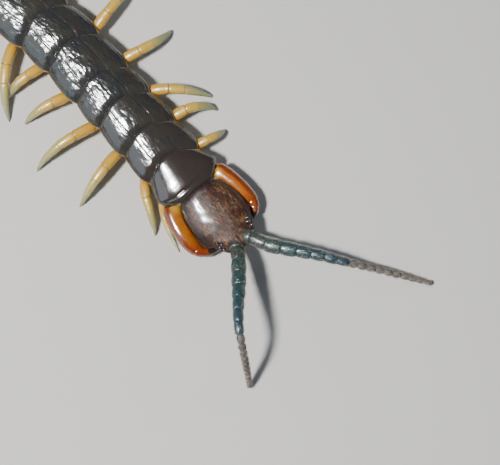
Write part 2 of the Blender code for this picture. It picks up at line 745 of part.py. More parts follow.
def add_spines(pieces, path, side, material):
    """Short thorns on the inner underside of a last leg's first article."""
    points = spread_evenly(path, SPINE_SHARES)
    inward = -side * axes_at(TRUNK_END)[1]
    radius = LEG_RINGS[1][1] * LAST_LEG_SCALE
    backward = -axes_at(TRUNK_END)[0]
    distances = np.array([[SPINE_ROOT_SHARE * radius], [radius], [radius + SPINE_LENGTH]])
    radii = SPINE_RADIUS * np.array(SPINE_RADIUS_SHARES)
    for order, point in enumerate(points):
        tilt = math.radians(SPINE_TILTS[order % len(SPINE_TILTS)])
        out = math.cos(tilt) * inward + math.sin(tilt) * np.array([0.0, 0.0, 1.0])
        centres = point + out * distances
        sideways = np.cross(out, backward)
        axes = [np.broadcast_to(axis, centres.shape) for axis in (backward, sideways)]
        rings = round_rings(centres, *axes, radii, radii, SPINE_SIDES)
        add_solid("spine", *tube_mesh(rings), material, pieces)


def add_last_leg(side, material):
    """A long last leg that trails behind, with a few thorns near its root."""
    forward, left = axes_at(TRUNK_END)
    root = place(TRUNK_END - GAP / 2, side * LAST_LEG_ROOT_U, LAST_LEG_ROOT_Z) - forward * GAP
    points = [root]
    for back, outward, height in LAST_LEG_POINTS:
        point = root - forward * back + side * left * outward
        point[2] = height
        points.append(point)
    path = smooth_path(points, PATH_POINTS)
    rings = leg_rings(path, -forward, LAST_LEG_SCALE)
    name = f"leg_{'left' if side == 1 else 'right'}_{SEGMENTS:02d}"
    leg = add_solid(name, *tube_mesh(rings), material)
    fuse(leg, lambda pieces: add_spines(pieces, path, side, material), material)


def main():
    clear_scene()
    finishes = {name: make_material(name, *look) for name, look in FINISHES.items()}
    amber = finishes["fang_amber"]
    yellow = finishes["leg_yellow"]
    teal = finishes["antenna_teal"]
    add_head(finishes["head_plate"])
    add_fang_plate(amber)
    add_mouthparts(amber)
    add_trunk(finishes["back_plate"])
    halves = (("left", 1, LEFT_FANG, LEFT_ANTENNA), ("right", -1, RIGHT_FANG, RIGHT_ANTENNA))
    for word, side, fang, antenna in halves:
        add_fang(f"fang_{word}", fang, amber)
        add_antenna(f"antenna_{word}", antenna, teal)
        for number in range(1, SEGMENTS):
            add_leg(number, side, yellow)
        add_last_leg(side, yellow)


main()
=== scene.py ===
# %% [markdown]
# # A giant centipede at life size
# A centipede is one long chain of like pieces. Each trunk segment has a hard plate on its back, a
# softer one on its belly, a folded skin between the two and one pair of legs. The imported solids
# fix where each of them is, and this notebook lays the fine surfaces over them.
# The animal faces +X, its left side is +Y and the floor is z = 0. Sizes are in millimetres, and
# they turn into metres when a mesh is made.

import math

import bpy
import numpy as np
from mathutils import Matrix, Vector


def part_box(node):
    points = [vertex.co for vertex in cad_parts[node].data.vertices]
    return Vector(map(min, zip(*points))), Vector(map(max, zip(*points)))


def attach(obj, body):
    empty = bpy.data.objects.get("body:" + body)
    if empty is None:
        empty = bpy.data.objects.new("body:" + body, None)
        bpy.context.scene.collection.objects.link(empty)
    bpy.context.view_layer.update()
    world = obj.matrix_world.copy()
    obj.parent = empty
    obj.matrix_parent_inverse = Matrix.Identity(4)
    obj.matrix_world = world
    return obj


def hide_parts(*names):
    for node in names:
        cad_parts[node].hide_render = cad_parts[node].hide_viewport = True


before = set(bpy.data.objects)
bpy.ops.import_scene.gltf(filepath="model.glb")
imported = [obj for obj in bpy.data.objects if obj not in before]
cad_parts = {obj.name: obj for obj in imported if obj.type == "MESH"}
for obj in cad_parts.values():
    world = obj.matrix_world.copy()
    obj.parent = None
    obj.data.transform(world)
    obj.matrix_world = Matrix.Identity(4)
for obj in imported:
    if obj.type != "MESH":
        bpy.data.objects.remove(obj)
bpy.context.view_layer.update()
MM = 0.001

# %% [markdown]
# ## Camera
# The picture looks down on the animal, a few degrees off straight down, with the head at the
# lower right. A long lens from 30 cm gives the same flat view. The camera is placed from the
# neck, which is where the head's solid starts.

# %% Camera
head_low, head_high = (np.array(corner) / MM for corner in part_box("head"))
NECK = np.array([head_low[0], (head_low[1] + head_high[1]) / 2, 0.0])
AIM = NECK + (12.0, 2.3, 4.0)
UP = np.array([0.0, 0.0, 1.0])
VIEW_RIGHT = np.array([0.6626, 0.7490, 0.0])
VIEW_DOWN = np.cross(VIEW_RIGHT, UP)
VIEW_HEIGHT = math.radians(82)
VIEW_DISTANCE = 300.0
LENS = 120.0
SENSOR_WIDTH = 36.0
CLIP_START = 0.01


def look_at(aim, towards, distance, right):
    """A pose at a distance from aim along towards, with its own -Z looking back at aim."""
    back = np.array(towards) / np.linalg.norm(towards)
    right = np.array(right) - back * np.dot(right, back)
    right /= np.linalg.norm(right)
    pose = np.eye(4)
    pose[:3, :3] = np.stack([right, np.cross(back, right), back], axis=1)
    pose[:3, 3] = (aim + back * distance) * MM
    return Matrix(pose.tolist())


view_back = math.sin(VIEW_HEIGHT) * UP + math.cos(VIEW_HEIGHT) * VIEW_DOWN
camera = bpy.data.objects.new("camera", bpy.data.cameras.new("camera"))
camera.data.lens = LENS
camera.data.sensor_width = SENSOR_WIDTH
camera.data.clip_start = CLIP_START
camera.matrix_world = look_at(AIM, view_back, VIEW_DISTANCE, VIEW_RIGHT)
bpy.context.scene.collection.objects.link(camera)
bpy.context.scene.camera = camera
print("camera at", [round(value, 4) for value in camera.matrix_world.translation])

# %% [markdown]
# ## Light
# A hard shell shows its shape through its highlights, so one soft key light stands to the left
# of the picture, where it draws a bright band along the right half of the animal's back. Two
# wider lamps round it and a large one low on the same side only add to the highlights: the band
# grows and gets a soft border, the flanks shine a little blue, and the floor stays as it is. A
# weak, wide lamp on the other side and a dim grey world fill the shadows.

# %% Light
# Each row: name, direction (right and up in the picture, and up from the floor), distance, size,
# watts, colour, whether it lights surfaces and whether it shows in highlights.
LIGHTS = (
    ("key", (-0.42, -0.16, 1.0), 420.0, 52.0, 2.9, (1.0, 0.985, 0.96), True, True),
    ("gleam", (-0.42, -0.16, 1.0), 424.0, 70.0, 3.0, (0.96, 0.98, 1.0), False, True),
    ("halo", (-0.46, -0.18, 1.0), 430.0, 150.0, 1.5, (0.85, 0.93, 1.0), False, True),
    ("sheen", (-1.0, -0.5, 0.55), 480.0, 360.0, 0.6, (0.75, 0.88, 1.0), False, True),
    ("fill", (0.9, 0.5, 0.7), 520.0, 260.0, 0.4, (0.85, 0.92, 1.0), True, False),
)
WORLD_GREY = (0.56, 0.65, 0.78, 1.0)
WORLD_STRENGTH = 0.16

for name, (right, up, high), distance, size, watts, colour, lights_up, shines in LIGHTS:
    lamp = bpy.data.objects.new(name, bpy.data.lights.new(name, "AREA"))
    lamp.data.shape = "DISK"
    lamp.data.size = size * MM
    lamp.data.energy = watts
    lamp.data.color = colour
    lamp.visible_diffuse = lights_up
    lamp.visible_glossy = shines
    towards = right * VIEW_RIGHT - up * VIEW_DOWN + high * UP
    lamp.matrix_world = look_at(AIM, towards, distance, VIEW_RIGHT)
    bpy.context.scene.collection.objects.link(lamp)
world = bpy.data.worlds.new("studio")
world.use_nodes = True
world.node_tree.nodes["Background"].inputs["Color"].default_value = WORLD_GREY
world.node_tree.nodes["Background"].inputs["Strength"].default_value = WORLD_STRENGTH
bpy.context.scene.world = world
print(len(LIGHTS), "lamps and a grey world")

# %% [markdown]
# ## Smooth numbers
# Every shape here starts as a short table: a place, then the sizes there. One function joins a
# table's rows with a smooth curve, so a table of five rows can describe a whole head.

# %% Reading tables and walking along curves
CURVE_POINTS = 241


def read(table, x):
    """The sizes in a table at x. Between two rows they follow a cubic whose slope at each row is
    the mean slope of its neighbours, and past the ends they stay as they are."""
    table = np.asarray(table, float)
    places, sizes = table[:, 0], table[:, 1:]
    slopes = np.gradient(sizes, places, axis=0)
    x = np.clip(np.asarray(x, float), places[0], places[-1])
    k = np.clip(np.searchsorted(places, x) - 1, 0, len(places) - 2)
    gap = (places[k + 1] - places[k])[..., None]
    t = (x - places[k])[..., None] / gap
    start = sizes[k] * (1 + 2 * t) * (1 - t) ** 2 + slopes[k] * gap * t * (1 - t) ** 2
    end = sizes[k + 1] * t**2 * (3 - 2 * t) + slopes[k + 1] * gap * t**2 * (t - 1)
    return (start + end)[..., 0] if sizes.shape[1] == 1 else start + end


def straight(pairs, x):
    """A table of pairs read with straight lines, as the solids read theirs."""
    places, sizes = zip(*pairs)
    return np.interp(x, places, sizes)


def curve_through(points):
    """Points on a smooth curve that passes through the given ones at equal steps of its parameter."""
    rows = np.column_stack([np.arange(len(points)), points])
    return read(rows, np.linspace(0, len(points) - 1, CURVE_POINTS))


def distances_along(curve):
    """How far along a curve each of its points lies."""
    steps = np.linalg.norm(np.diff(curve, axis=0), axis=1)
    return np.concatenate([[0.0], np.cumsum(steps)])


def length_of(curve):
    """The whole length of a curve."""
    return distances_along(curve)[-1]


def walk(curve, distance):
    """The points at given distances along a curve, and the directions of the curve, sideways and
    above there. Sideways stays level."""
    along = distances_along(curve)
    centre = np.stack([np.interp(distance, along, curve[:, axis]) for axis in range(3)], axis=-1)
    slope = np.gradient(curve, axis=0)
    forward = np.stack([np.interp(distance, along, slope[:, axis]) for axis in range(3)], axis=-1)
    forward /= np.linalg.norm(forward, axis=-1, keepdims=True)
    side = np.stack([-forward[:, 1], forward[:, 0], np.zeros(len(forward))], axis=-1)
    side /= np.linalg.norm(side, axis=-1, keepdims=True)
    return centre, forward, side, np.cross(forward, side)


def bell(x, width):
    """1 at x = 0, falling smoothly to nothing over a few widths: e to the power -(x / width)^2."""
    return np.exp(-((x / width) ** 2))


print("a table read at 1.5:", read(((1, 4.0), (2, 6.0), (3, 5.0)), 1.5))

# %% [markdown]
# ## The midline
# The trunk isn't straight: it swings once to the side, like a snake. All of its pieces are worked
# out as if it were straight, with s the distance behind the neck, u to the animal's left and z
# the height. Then one function bends them along the midline, so they all bend alike.

# %% The midline and the lengths of the back plates
SEGMENTS = 21
FRONT_PLATES = (7.1, 6.5, 7.0, 6.1, 8.1, 7.4)
MIDDLE_PLATE = 8.0
LAST_PLATE = 7.1
TAIL_PLATES = 4
LONG_PLATES = (8, 10, 12, 14, 16, 18, 20)
PLATE_CHANGE = 0.45
BEND_START = 32.0
BEND_LENGTH = 128.0
BEND_SWING = 0.3
MIDLINE_STEP = 0.1
MIDLINE_SPARE = 6.0
LEAN_PAIRS = ((0, 0.0), (6, 0.08), (44, 0.08), (64, 0.0))


def plate_lengths():
    """Plates over breathing holes are a little longer, and the last few shorten towards the tail."""
    numbers = np.arange(1, SEGMENTS + 1)
    past = np.maximum(0, numbers - SEGMENTS + TAIL_PLATES) / TAIL_PLATES
    change = np.where(np.isin(numbers, LONG_PLATES), PLATE_CHANGE, -PLATE_CHANGE)
    lengths = MIDDLE_PLATE - (MIDDLE_PLATE - LAST_PLATE) * past + change
    lengths[: len(FRONT_PLATES)] = FRONT_PLATES
    return lengths


PLATE_ENDS = np.concatenate([[0.0], np.cumsum(plate_lengths())])
TRUNK_END = PLATE_ENDS[-1]


def midline():
    """s, x, y and heading every MIDLINE_STEP. The heading swings as the sine of the distance past
    the straight front part, and x and y add up its cosine and sine."""
    s = np.arange(0.0, TRUNK_END + MIDLINE_SPARE, MIDLINE_STEP)
    turn = BEND_SWING * np.sin(2 * math.pi * (s - BEND_START) / BEND_LENGTH)
    heading = np.where(s > BEND_START, turn, 0.0)
    x = -np.concatenate([[0.0], np.cumsum(np.cos(heading[:-1]))]) * MIDLINE_STEP
    y = -np.concatenate([[0.0], np.cumsum(np.sin(heading[:-1]))]) * MIDLINE_STEP
    return s, x, y, heading


MIDLINE = midline()


def axes_at(s):
    """The forward and the left direction of the midline at s."""
    heading = np.interp(s, MIDLINE[0], MIDLINE[3])
    forward = np.stack([np.cos(heading), np.sin(heading), np.zeros_like(heading)], axis=-1)
    left = np.stack([-np.sin(heading), np.cos(heading), np.zeros_like(heading)], axis=-1)
    return forward, left


def place(s, u, z):
    """The point at s along the midline, u to its left and z above the floor. The front segments
    lean, with their left side a little ahead of their right side."""
    s, u, z = np.broadcast_arrays(np.asarray(s, float), u, z)
    x = np.where(s < 0, -s, np.interp(s, MIDLINE[0], MIDLINE[1])) + straight(LEAN_PAIRS, s) * u
    y = np.interp(s, MIDLINE[0], MIDLINE[2])
    return np.stack([x, y, z], axis=-1) + axes_at(s)[1] * u[..., None] + NECK


print("the trunk is", round(float(TRUNK_END), 1), "mm long")
print("its end is at", place(TRUNK_END, 0, 0).round(1))

# %% [markdown]
# ## From grids of points to meshes
# A surface is a grid of points worked out with numpy. Each point also carries two notes that the
# materials read: its marks (share of the length, a second share, and a tone of its own) and its
# lie, the place in millimetres as if the surface were straight, so grain follows every bend.

# %% Mesh helpers
COLUMNS = 9


def notes(points, along, across, tone, lie):
    """Nine columns for each point: its place, its three marks and its three lie values."""
    values = (along, across, tone, *lie)
    columns = [np.broadcast_to(value, points.shape[:-1])[..., None] for value in values]
    return np.concatenate([points, *columns], axis=-1)


def own_tone(number):
    """A tone between 0 and 1 for a numbered piece, far from its neighbours' tones."""
    return number * 0.37 % 1


def grid_quads(rows, columns, closed):
    """The corners of the faces between neighbours on a grid, whose last column may meet the first."""
    row = np.arange(rows - 1)[:, None] * columns
    column = np.arange(columns if closed else columns - 1)[None, :]
    following = (column + 1) % columns
    corners = (row + column, row + following, row + columns + following, row + columns + column)
    return np.stack(np.broadcast_arrays(*corners), axis=-1).reshape(-1, 4)


def tube(grid):
    """A closed part from rings of noted points, with a fan of triangles over each end."""
    rows, sides, _ = grid.shape
    ends = [grid[:1].mean(axis=1), grid[-1:].mean(axis=1)]
    values = np.concatenate([grid.reshape(-1, COLUMNS), *ends])
    ring = np.arange(sides)
    following = (ring + 1) % sides
    last = (rows - 1) * sides
    first_fan = np.stack([following, ring, np.full(sides, rows * sides)], axis=-1)
    last_fan = np.stack([last + ring, last + following, np.full(sides, rows * sides + 1)], axis=-1)
    return values, grid_quads(rows, sides, True), np.concatenate([first_fan, last_fan])


def shell(outer, inner):
    """A closed part from two grids that lie face to face, joined by a strip along each border."""
    rows, columns, _ = outer.shape
    inside = rows * columns
    faces = grid_quads(rows, columns, False)
    number = np.arange(inside).reshape(rows, columns)
    border = np.concatenate([number[0], number[1:, -1], number[-1, -2::-1], number[-2:0:-1, 0]])
    following = np.roll(border, -1)
    strip = np.stack([following, border, border + inside, following + inside], axis=-1)
    values = np.concatenate([outer.reshape(-1, COLUMNS), inner.reshape(-1, COLUMNS)])
    return values, np.concatenate([faces, faces[:, ::-1] + inside, strip]), np.zeros((0, 3), int)


print("a grid of 3 by 4 points has", len(grid_quads(3, 4, False)), "faces")

# %% Making a piece
SHARP_ANGLE = math.radians(50)


def signed_volume(points, quads, triangles):
    """A sixth of the sum of each triangle's a . (b x c): above zero if the faces point out."""
    corners = np.concatenate([quads[:, [0, 1, 2]], quads[:, [0, 2, 3]], triangles])
    a, b, c = (points[corners[:, corner]] for corner in range(3))
    return np.einsum("ij,ij->", a, np.cross(b, c)) / 6


def make_piece(name, parts, material, nodes):
    """One object from closed parts, with its notes as attributes, riding on the body and standing
    for the named solids."""
    values, quads, triangles, count = [], [], [], 0
    for part_values, part_quads, part_triangles in parts:
        middle = part_values[:, :3].mean(axis=0)
        if signed_volume(part_values[:, :3] - middle, part_quads, part_triangles) < 0:
            part_quads, part_triangles = part_quads[:, ::-1], part_triangles[:, ::-1]
        values.append(part_values)
        quads.append(part_quads + count)
        triangles.append(part_triangles + count)
        count += len(part_values)
    values = np.concatenate(values)
    faces = np.concatenate(quads).tolist() + np.concatenate(triangles).tolist()
    mesh = bpy.data.meshes.new(name)
    mesh.from_pydata((values[:, :3] * MM).tolist(), [], faces)
    for attribute, first in (("marks", 3), ("lie", 6)):
        layer = mesh.attributes.new(attribute, "FLOAT_VECTOR", "POINT")
        layer.data.foreach_set("vector", values[:, first : first + 3].astype(np.float32).ravel())
    mesh.materials.append(material)
    mesh.shade_smooth()
    mesh.set_sharp_from_angle(angle=SHARP_ANGLE)
    piece = bpy.data.objects.new(name, mesh)
    bpy.context.scene.collection.objects.link(piece)
    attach(piece, "root")
    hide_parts(*nodes)
    return piece


print("ready to make pieces")

# %% Tubes, balls, cones and rings
OVAL_STEPS = 24
WIRE_SIDES = 8


def angles(count):
    """Equal steps round a circle."""
    return np.linspace(0, 2 * math.pi, count, endpoint=False)


def rings(centre, side, above, widths, heights, sides):
    """Ellipses round centres: centre + side width cos(angle) + above height sin(angle).
    Also the angles, for the notes."""
    angle = angles(sides)[None, :]
    across = side[:, None, :] * (np.reshape(widths, (-1, 1)) * np.cos(angle))[..., None]
    upright = above[:, None, :] * (np.reshape(heights, (-1, 1)) * np.sin(angle))[..., None]
    return centre[:, None, :] + across + upright, angle


def ball(centre, axes, tone, rows, sides):
    """An ellipsoid: centre + the three axes times the points of a unit sphere."""
    polar = np.linspace(0, math.pi, rows + 2)[1:-1, None]
    around = angles(sides)[None, :]
    second, third = np.sin(polar) * np.cos(around), np.sin(polar) * np.sin(around)
    unit = np.stack(np.broadcast_arrays(np.cos(polar), second, third), axis=-1)
    points = np.asarray(centre) + unit @ np.asarray(axes, float)
    return tube(notes(points, unit[..., 0], unit[..., 2], tone, points.transpose(2, 0, 1)))


def cone(points, radii, sides):
    """A tapering tube through a few points, with a radius at each."""
    points = np.asarray(points, float)
    forward = np.gradient(points, axis=0)
    side = np.cross(forward, UP)
    side /= np.linalg.norm(side, axis=1)[:, None]
    above = np.cross(side, forward)
    above /= np.linalg.norm(above, axis=1)[:, None]
    grid, angle = rings(points, side, above, radii, radii, sides)
    share = np.linspace(0, 1, len(points))[:, None]
    return tube(notes(grid, share, np.cos(angle), 0.0, grid.transpose(2, 0, 1)))


def oval_wire(centre, first, second, wide, high):
    """Small ellipses, wide in the oval's plane and high across it, round the oval
    centre + first cos(angle) + second sin(angle). Also their angles."""
    angle = angles(OVAL_STEPS)
    long, short = np.linalg.norm(first), np.linalg.norm(second)
    ring = centre + np.outer(np.cos(angle), first) + np.outer(np.sin(angle), second)
    out = np.outer(np.cos(angle), first / long) + np.outer(np.sin(angle), second / short)
    normal = np.broadcast_to(np.cross(first, second) / (long * short), out.shape)
    return rings(ring, out, normal, wide, high, WIRE_SIDES)


def joined_ring(values):
    """A closed part from noted rings, the last of which meets the first."""
    rows, sides, _ = values.shape
    quads = grid_quads(rows + 1, sides, True) % (rows * sides)
    return values.reshape(-1, COLUMNS), quads, np.zeros((0, 3), int)


print("mesh helpers ready")

# %% [markdown]
# ## Writing materials as sums
# A material's nodes read best as arithmetic. Value wraps one socket, and Python's operators on
# it add Math nodes. Colours and vectors don't survive a Math node, so they have their own
# helpers, and any other node comes from Value.node.

# %% Shader maths


class Value:
    """A socket in a material, on which Python's own operators work."""

    def __init__(self, tree, socket=None):
        self.tree = tree
        self.socket = socket

    def node(self, kind, settings=None, inputs=None, output=0):
        """Adds a node of a type, applies its settings, then sets or links its sockets."""
        made = self.tree.nodes.new("ShaderNode" + kind)
        for name, value in (settings or {}).items():
            if name == "stops":
                set_stops(made.color_ramp, value)
            else:
                setattr(made, name, value)
        for name, value in (inputs or {}).items():
            if isinstance(value, Value):
                self.tree.links.new(value.socket, made.inputs[name])
            else:
                made.inputs[name].default_value = value
        return Value(self.tree, made.outputs[output])

    def math(self, operation, first, second=0.0):
        """Adds a Math node."""
        return self.node("Math", {"operation": operation}, {0: first, 1: second})

    def __add__(self, other):
        return self.math("ADD", self, other)

    __radd__ = __add__

    def __sub__(self, other):
        return self.math("SUBTRACT", self, other)

    def __rsub__(self, other):
        return self.math("SUBTRACT", other, self)

    def __mul__(self, other):
        return self.math("MULTIPLY", self, other)

    __rmul__ = __mul__

    def size(self):
        """The value without its sign."""
        return self.math("ABSOLUTE", self)

    def between(self, low, high):
        """0 below low, 1 above high, and a smooth rise between them."""
        settings = {"interpolation_type": "SMOOTHSTEP"}
        return self.node("MapRange", settings, {"Value": self, "From Min": low, "From Max": high})

    def ramp(self, *stops):
        """A colour read from stops of (place, colour)."""
        return self.node("ValToRGB", {"stops": stops}, {"Fac": self})

    def note(self, attribute):
        """The three numbers that the mesh's points carry under that name."""
        vector = self.node("Attribute", {"attribute_name": attribute}, output="Vector")
        parts = self.node("SeparateXYZ", None, {0: vector}).socket.node.outputs
        return [Value(self.tree, part) for part in parts]

    def noise(self, x, y, z, detail=3.0, rough=0.55):
        """Cloudy noise at a point whose three numbers are given."""
        point = self.node("CombineXYZ", None, {0: x, 1: y, 2: z})
        inputs = {"Vector": point, "Scale": 1.0, "Detail": detail, "Roughness": rough}
        return self.node("TexNoise", None, inputs)

    def cells(self, x, y, z):
        """The distance to the nearest of many scattered points."""
        point = self.node("CombineXYZ", None, {0: x, 1: y, 2: z})
        return self.node("TexVoronoi", None, {"Vector": point, "Scale": 1.0})


def set_stops(ramp, stops):
    """Gives a colour ramp its stops, in order."""
    while len(ramp.elements) < len(stops):
        ramp.elements.new(1.0)
    for element, (position, colour) in zip(ramp.elements, stops):
        element.position = position
        element.color = (*colour, 1.0)


def mix(factor, first, second):
    """The first colour, or the second where the factor is 1."""
    colours = [value if isinstance(value, Value) else (*value, 1.0) for value in (first, second)]
    return factor.node("Mix", {"data_type": "RGBA"}, {0: factor, 6: colours[0], 7: colours[1]}, 2)


def start_material(name, **constants):
    """A material with constant sockets of its Principled shader set, and a Value to work with."""
    material = bpy.data.materials.new(name)
    material.use_nodes = True
    shader = material.node_tree.nodes["Principled BSDF"]
    for socket, value in constants.items():
        shader.inputs[socket.replace("_", " ")].default_value = value
    return material, Value(material.node_tree)


def paint(material, relief=None, relief_depth=0.0, **varying):
    """Links what changes over the surface, with relief as a bump of that depth in millimetres."""
    tree = material.node_tree
    shader = tree.nodes["Principled BSDF"]
    if relief is not None:
        inputs = {"Height": relief, "Distance": relief_depth * MM, "Strength": 1.0}
        varying["Normal"] = relief.node("Bump", None, inputs)
    for socket, value in varying.items():
        tree.links.new(value.socket, shader.inputs[socket.replace("_", " ")])
    return material


print("shader maths ready")

# %% [markdown]
# ## Back plates: slate shell
# A real back plate is a hard, dark, glossy sheet, worn by years of squeezing between stones: fine
# scratches run along the body, the colour drifts between slate, olive and brown, and the thin
# side rims let light through and look honey-yellow. Noise stretched along s gives the scratches,
# because the surface's lie is used in place of its position.

# %% Material of the back plates
SLATE = (0.023, 0.024, 0.026)
OLIVE = (0.034, 0.032, 0.025)
UMBER = (0.036, 0.022, 0.018)
PALE_SCRATCH = (0.11, 0.115, 0.11)
HONEY = (0.32, 0.2, 0.05)
RIM_FROM, RIM_TO = 0.972, 0.992


def back_shell():
    """Clouds of slate, olive and umber under fine scratches. polish, which the first plates
    carry, takes the wear away and turns them to umber."""
    material, v = start_material("back_shell", Coat_Roughness=0.12, Specular_IOR_Level=0.65)
    _, across, tone = v.note("marks")
    s, u, polish = v.note("lie")
    drift = v.noise(s * 0.22, u * 0.3, tone * 9.0)
    brown = v.noise(s * 0.35, u * 0.45, tone * 5.0 + 4.0)
    fibres = v.noise(s * 0.55, u * 7.0, tone * 7.0, 4.0, 0.6)
    threads = v.noise(s * 0.3, u * 26.0, tone * 3.0, 2.0)
    specks = v.cells(s * 1.1, u * 2.6, tone * 11.0)
    scratch = threads.between(0.6, 0.7) * fibres.between(0.42, 0.62)
    speck = 1 - specks.between(0.06, 0.14)
    rim = across.size().between(RIM_FROM, RIM_TO) * (1 - polish)
    worn = 1 - polish * 0.85
    colour = mix(drift.between(0.38, 0.64), SLATE, OLIVE)
    colour = mix(brown.between(0.5, 0.72) * 0.6 + polish * 0.6, colour, UMBER)
    colour = mix(fibres.between(0.45, 0.75) * worn * 0.14, colour, PALE_SCRATCH)
    colour = mix((scratch * 0.2 + speck * 0.14) * worn, colour, PALE_SCRATCH)
    colour = mix(rim, colour, HONEY)
    rough = 0.14 + (fibres.between(0.35, 0.75) * 0.12 + scratch * 0.1 + speck * 0.08) * worn
    blotches = v.noise(s * 0.7, u * 1.2, tone * 2.0, 1.0)
    relief = (fibres * 0.15 + threads * 0.06 + blotches * 3.2 - speck * 0.2) * worn
    coat = 0.2 + polish * 0.5 - scratch * 0.1
    return paint(material, relief, 0.06, Base_Color=colour, Roughness=rough, Coat_Weight=coat)


back_finish = back_shell()
print("made", back_finish.name)

# %% [markdown]
# ## Back plates: shape
# The plates overlap like tiles: each one's rear edge lies over the next one's front. A plate is a
# thin shell, domed across the body, a little narrower at both ends, with two long grooves, a
# raised field between them and a rolled rim. It could be carved by hand, but a formula keeps all
# 21 alike, and each still gets its own soft dents. The first is a smooth collar behind the head,
# so it has a table of its own.

# %% Section and rows of a plate
WIDTH_PAIRS = ((1, 6.3), (2, 6.2), (6, 6.5), (10, 6.85), (17, 6.6), (19, 6.1), (21, 5.2))
TOP_PAIRS = ((0, 7.5), (20, 8.0), (125, 8.0), (160, 6.8))
RIM_PAIRS = ((0, 4.9), (20, 5.0), (125, 5.0), (160, 4.6))
DOME_ROUND = 2.0
DOME_LIFT = 1.4
PLATE_THICK = 0.3
PLATE_CURL = 0.22
END_ROWS = (0.0, 0.012, 0.035)
END_THICK = (0.25, 0.6, 0.9)


def plate_number(s):
    """The number of the back plate at s, rising evenly from one plate's middle to the next."""
    middles = (PLATE_ENDS[:-1] + PLATE_ENDS[1:]) / 2
    return np.interp(s, middles, np.arange(1, SEGMENTS + 1))


def section(side, turn, width, rim, top, thick, curl):
    """u and z across a plate. side runs from -1 to 1, and turn is 0 on the outer face and pi on
    the inner one. The face is an arch, z = rim + (top - rim)(1 - |side|^p)^(1/q), and round the
    rim the edge is half an ellipse, thick wide and curl deep."""
    rise = (1 - np.abs(side) ** DOME_ROUND) ** (1 / DOME_LIFT)
    u = side * (width - thick * (1 - np.cos(turn)) / 2)
    z = rim - curl * np.sin(turn) + (top - rim - thick * (turn > math.pi / 2)) * rise
    return u, z


def plate_columns(count):
    """side and turn for the outer and for the inner face, each with its half of the rolled rim."""
    side = np.sin(np.linspace(-math.pi / 2, math.pi / 2, count))
    side = np.concatenate([[-1, -1], side, [1, 1]])
    outer = np.concatenate([np.radians([75, 35]), np.zeros(count), np.radians([35, 75])])
    return side, outer, math.pi - outer


def plate_rows(count):
    """Shares along a plate, close together at both ends, and the share of its thickness there."""
    middle = np.linspace(0.07, 0.93, count)
    ends = np.array(END_ROWS)
    shares = np.concatenate([ends, middle, 1 - ends[::-1]])
    thick = np.concatenate([END_THICK, np.ones(count), END_THICK[::-1]])
    return shares[:, None], thick[:, None]


print("plates end at s =", PLATE_ENDS.round(1).tolist())

# %% Grooves and dents of the back plates
GROOVE_SHARE = 0.41
GROOVE_DEPTH = 0.09
GROOVE_WIDTH = 0.15
GROOVE_STRENGTH = {1: 0.0, 2: 0.5}
FIELD_RISE = 0.06
FURROW_SHARE = 0.935
FURROW_DEPTH = 0.06
FURROW_WIDTH = 0.16
COLLAR_FURROW = 1.35
COLLAR_FURROW_DEPTH = 0.2
REAR_ROUND = 0.4
REAR_DROP = 0.14
WRINKLE_HEIGHT = 0.02
DENT_HEIGHT = 0.06
FIRST_DENT_HEIGHT = 0.018
DENT_WAVES = 7
DENT_PITCHES = (2.2, 6.0)
FULL_TURN = 6.28


def dents(s, u, seed):
    """Soft unevenness: a sum of slow waves in chance directions."""
    chance = np.random.default_rng(seed)
    lowest = (0, DENT_PITCHES[0], 0)
    highest = (math.pi, DENT_PITCHES[1], FULL_TURN)
    total = np.zeros(np.broadcast(s, u).shape)
    for _ in range(DENT_WAVES):
        turn, pitch, phase = chance.uniform(lowest, highest)
        total += np.sin((s * math.cos(turn) + u * math.sin(turn)) * FULL_TURN / pitch + phase)
    return total / DENT_WAVES


def back_relief(number, s_from_front, s_to_rear, u, width):
    """Height added to the outer face: two long grooves, the raised field between them, a furrow
    inside each rim, a rear edge that rounds down, fine wrinkles at the front and soft dents. The
    first plate has one furrow across its front in place of the grooves."""
    strength = GROOVE_STRENGTH.get(number, 1.0)
    groove_u = GROOVE_SHARE * width
    groove = bell(np.abs(u) - groove_u, GROOVE_WIDTH)
    field = 1 / (1 + np.exp((np.abs(u) - groove_u) / 0.25))
    furrow = bell(np.abs(u) - FURROW_SHARE * width, FURROW_WIDTH)
    fall = np.clip(1 - s_to_rear / REAR_ROUND, 0, 1) ** 2
    wrinkle = np.sin(s_from_front * 9.0) * np.exp(-s_from_front / 1.3)
    relief = strength * (FIELD_RISE * field - GROOVE_DEPTH * groove - FURROW_DEPTH * furrow)
    if number == 1:
        relief = relief - COLLAR_FURROW_DEPTH * bell(s_from_front - COLLAR_FURROW, 0.2) * bell(u, 5.5)
    dent_height = FIRST_DENT_HEIGHT if number == 1 else DENT_HEIGHT
    uneven = dent_height * dents(s_from_front, u, number)
    return relief - REAR_DROP * fall + WRINKLE_HEIGHT * wrinkle + uneven


print("dents of the second plate at its middle:", dents(0.0, 0.0, 2).round(2))

# %% The back plates
PLATE_SLOPE = 0.35
PLATE_DIP = 0.45
DIP_SHARE = 0.21
TUCK = 1.0
BOW = 1.6
BOW_MIDDLE = 0.45
FIELD_STEP = 0.28
FIELD_MIDDLE = 0.4
FRONT_SHARE = 0.35
FRONT_NARROWING = 0.12
REAR_NARROWING = 0.08
# Each row of the first plate: s, half its width, how much lower its top is, sweep of its corners.
FIRST_PLATE = (
    (-0.15, 5.5, 0.32, 0.42),
    (0.5, 6.05, 0.2, 0.4),
    (1.3, 6.4, 0.1, 0.27),
    (2.5, 6.55, 0.0, 0.1),
    (4.7, 6.1, 0.0, 0.0),
    (7.1, 5.25, 0.04, 0.0),
)
CORNER_START = 3.3
POLISH = {1: 1.0, 2: 0.5, 3: 0.3}


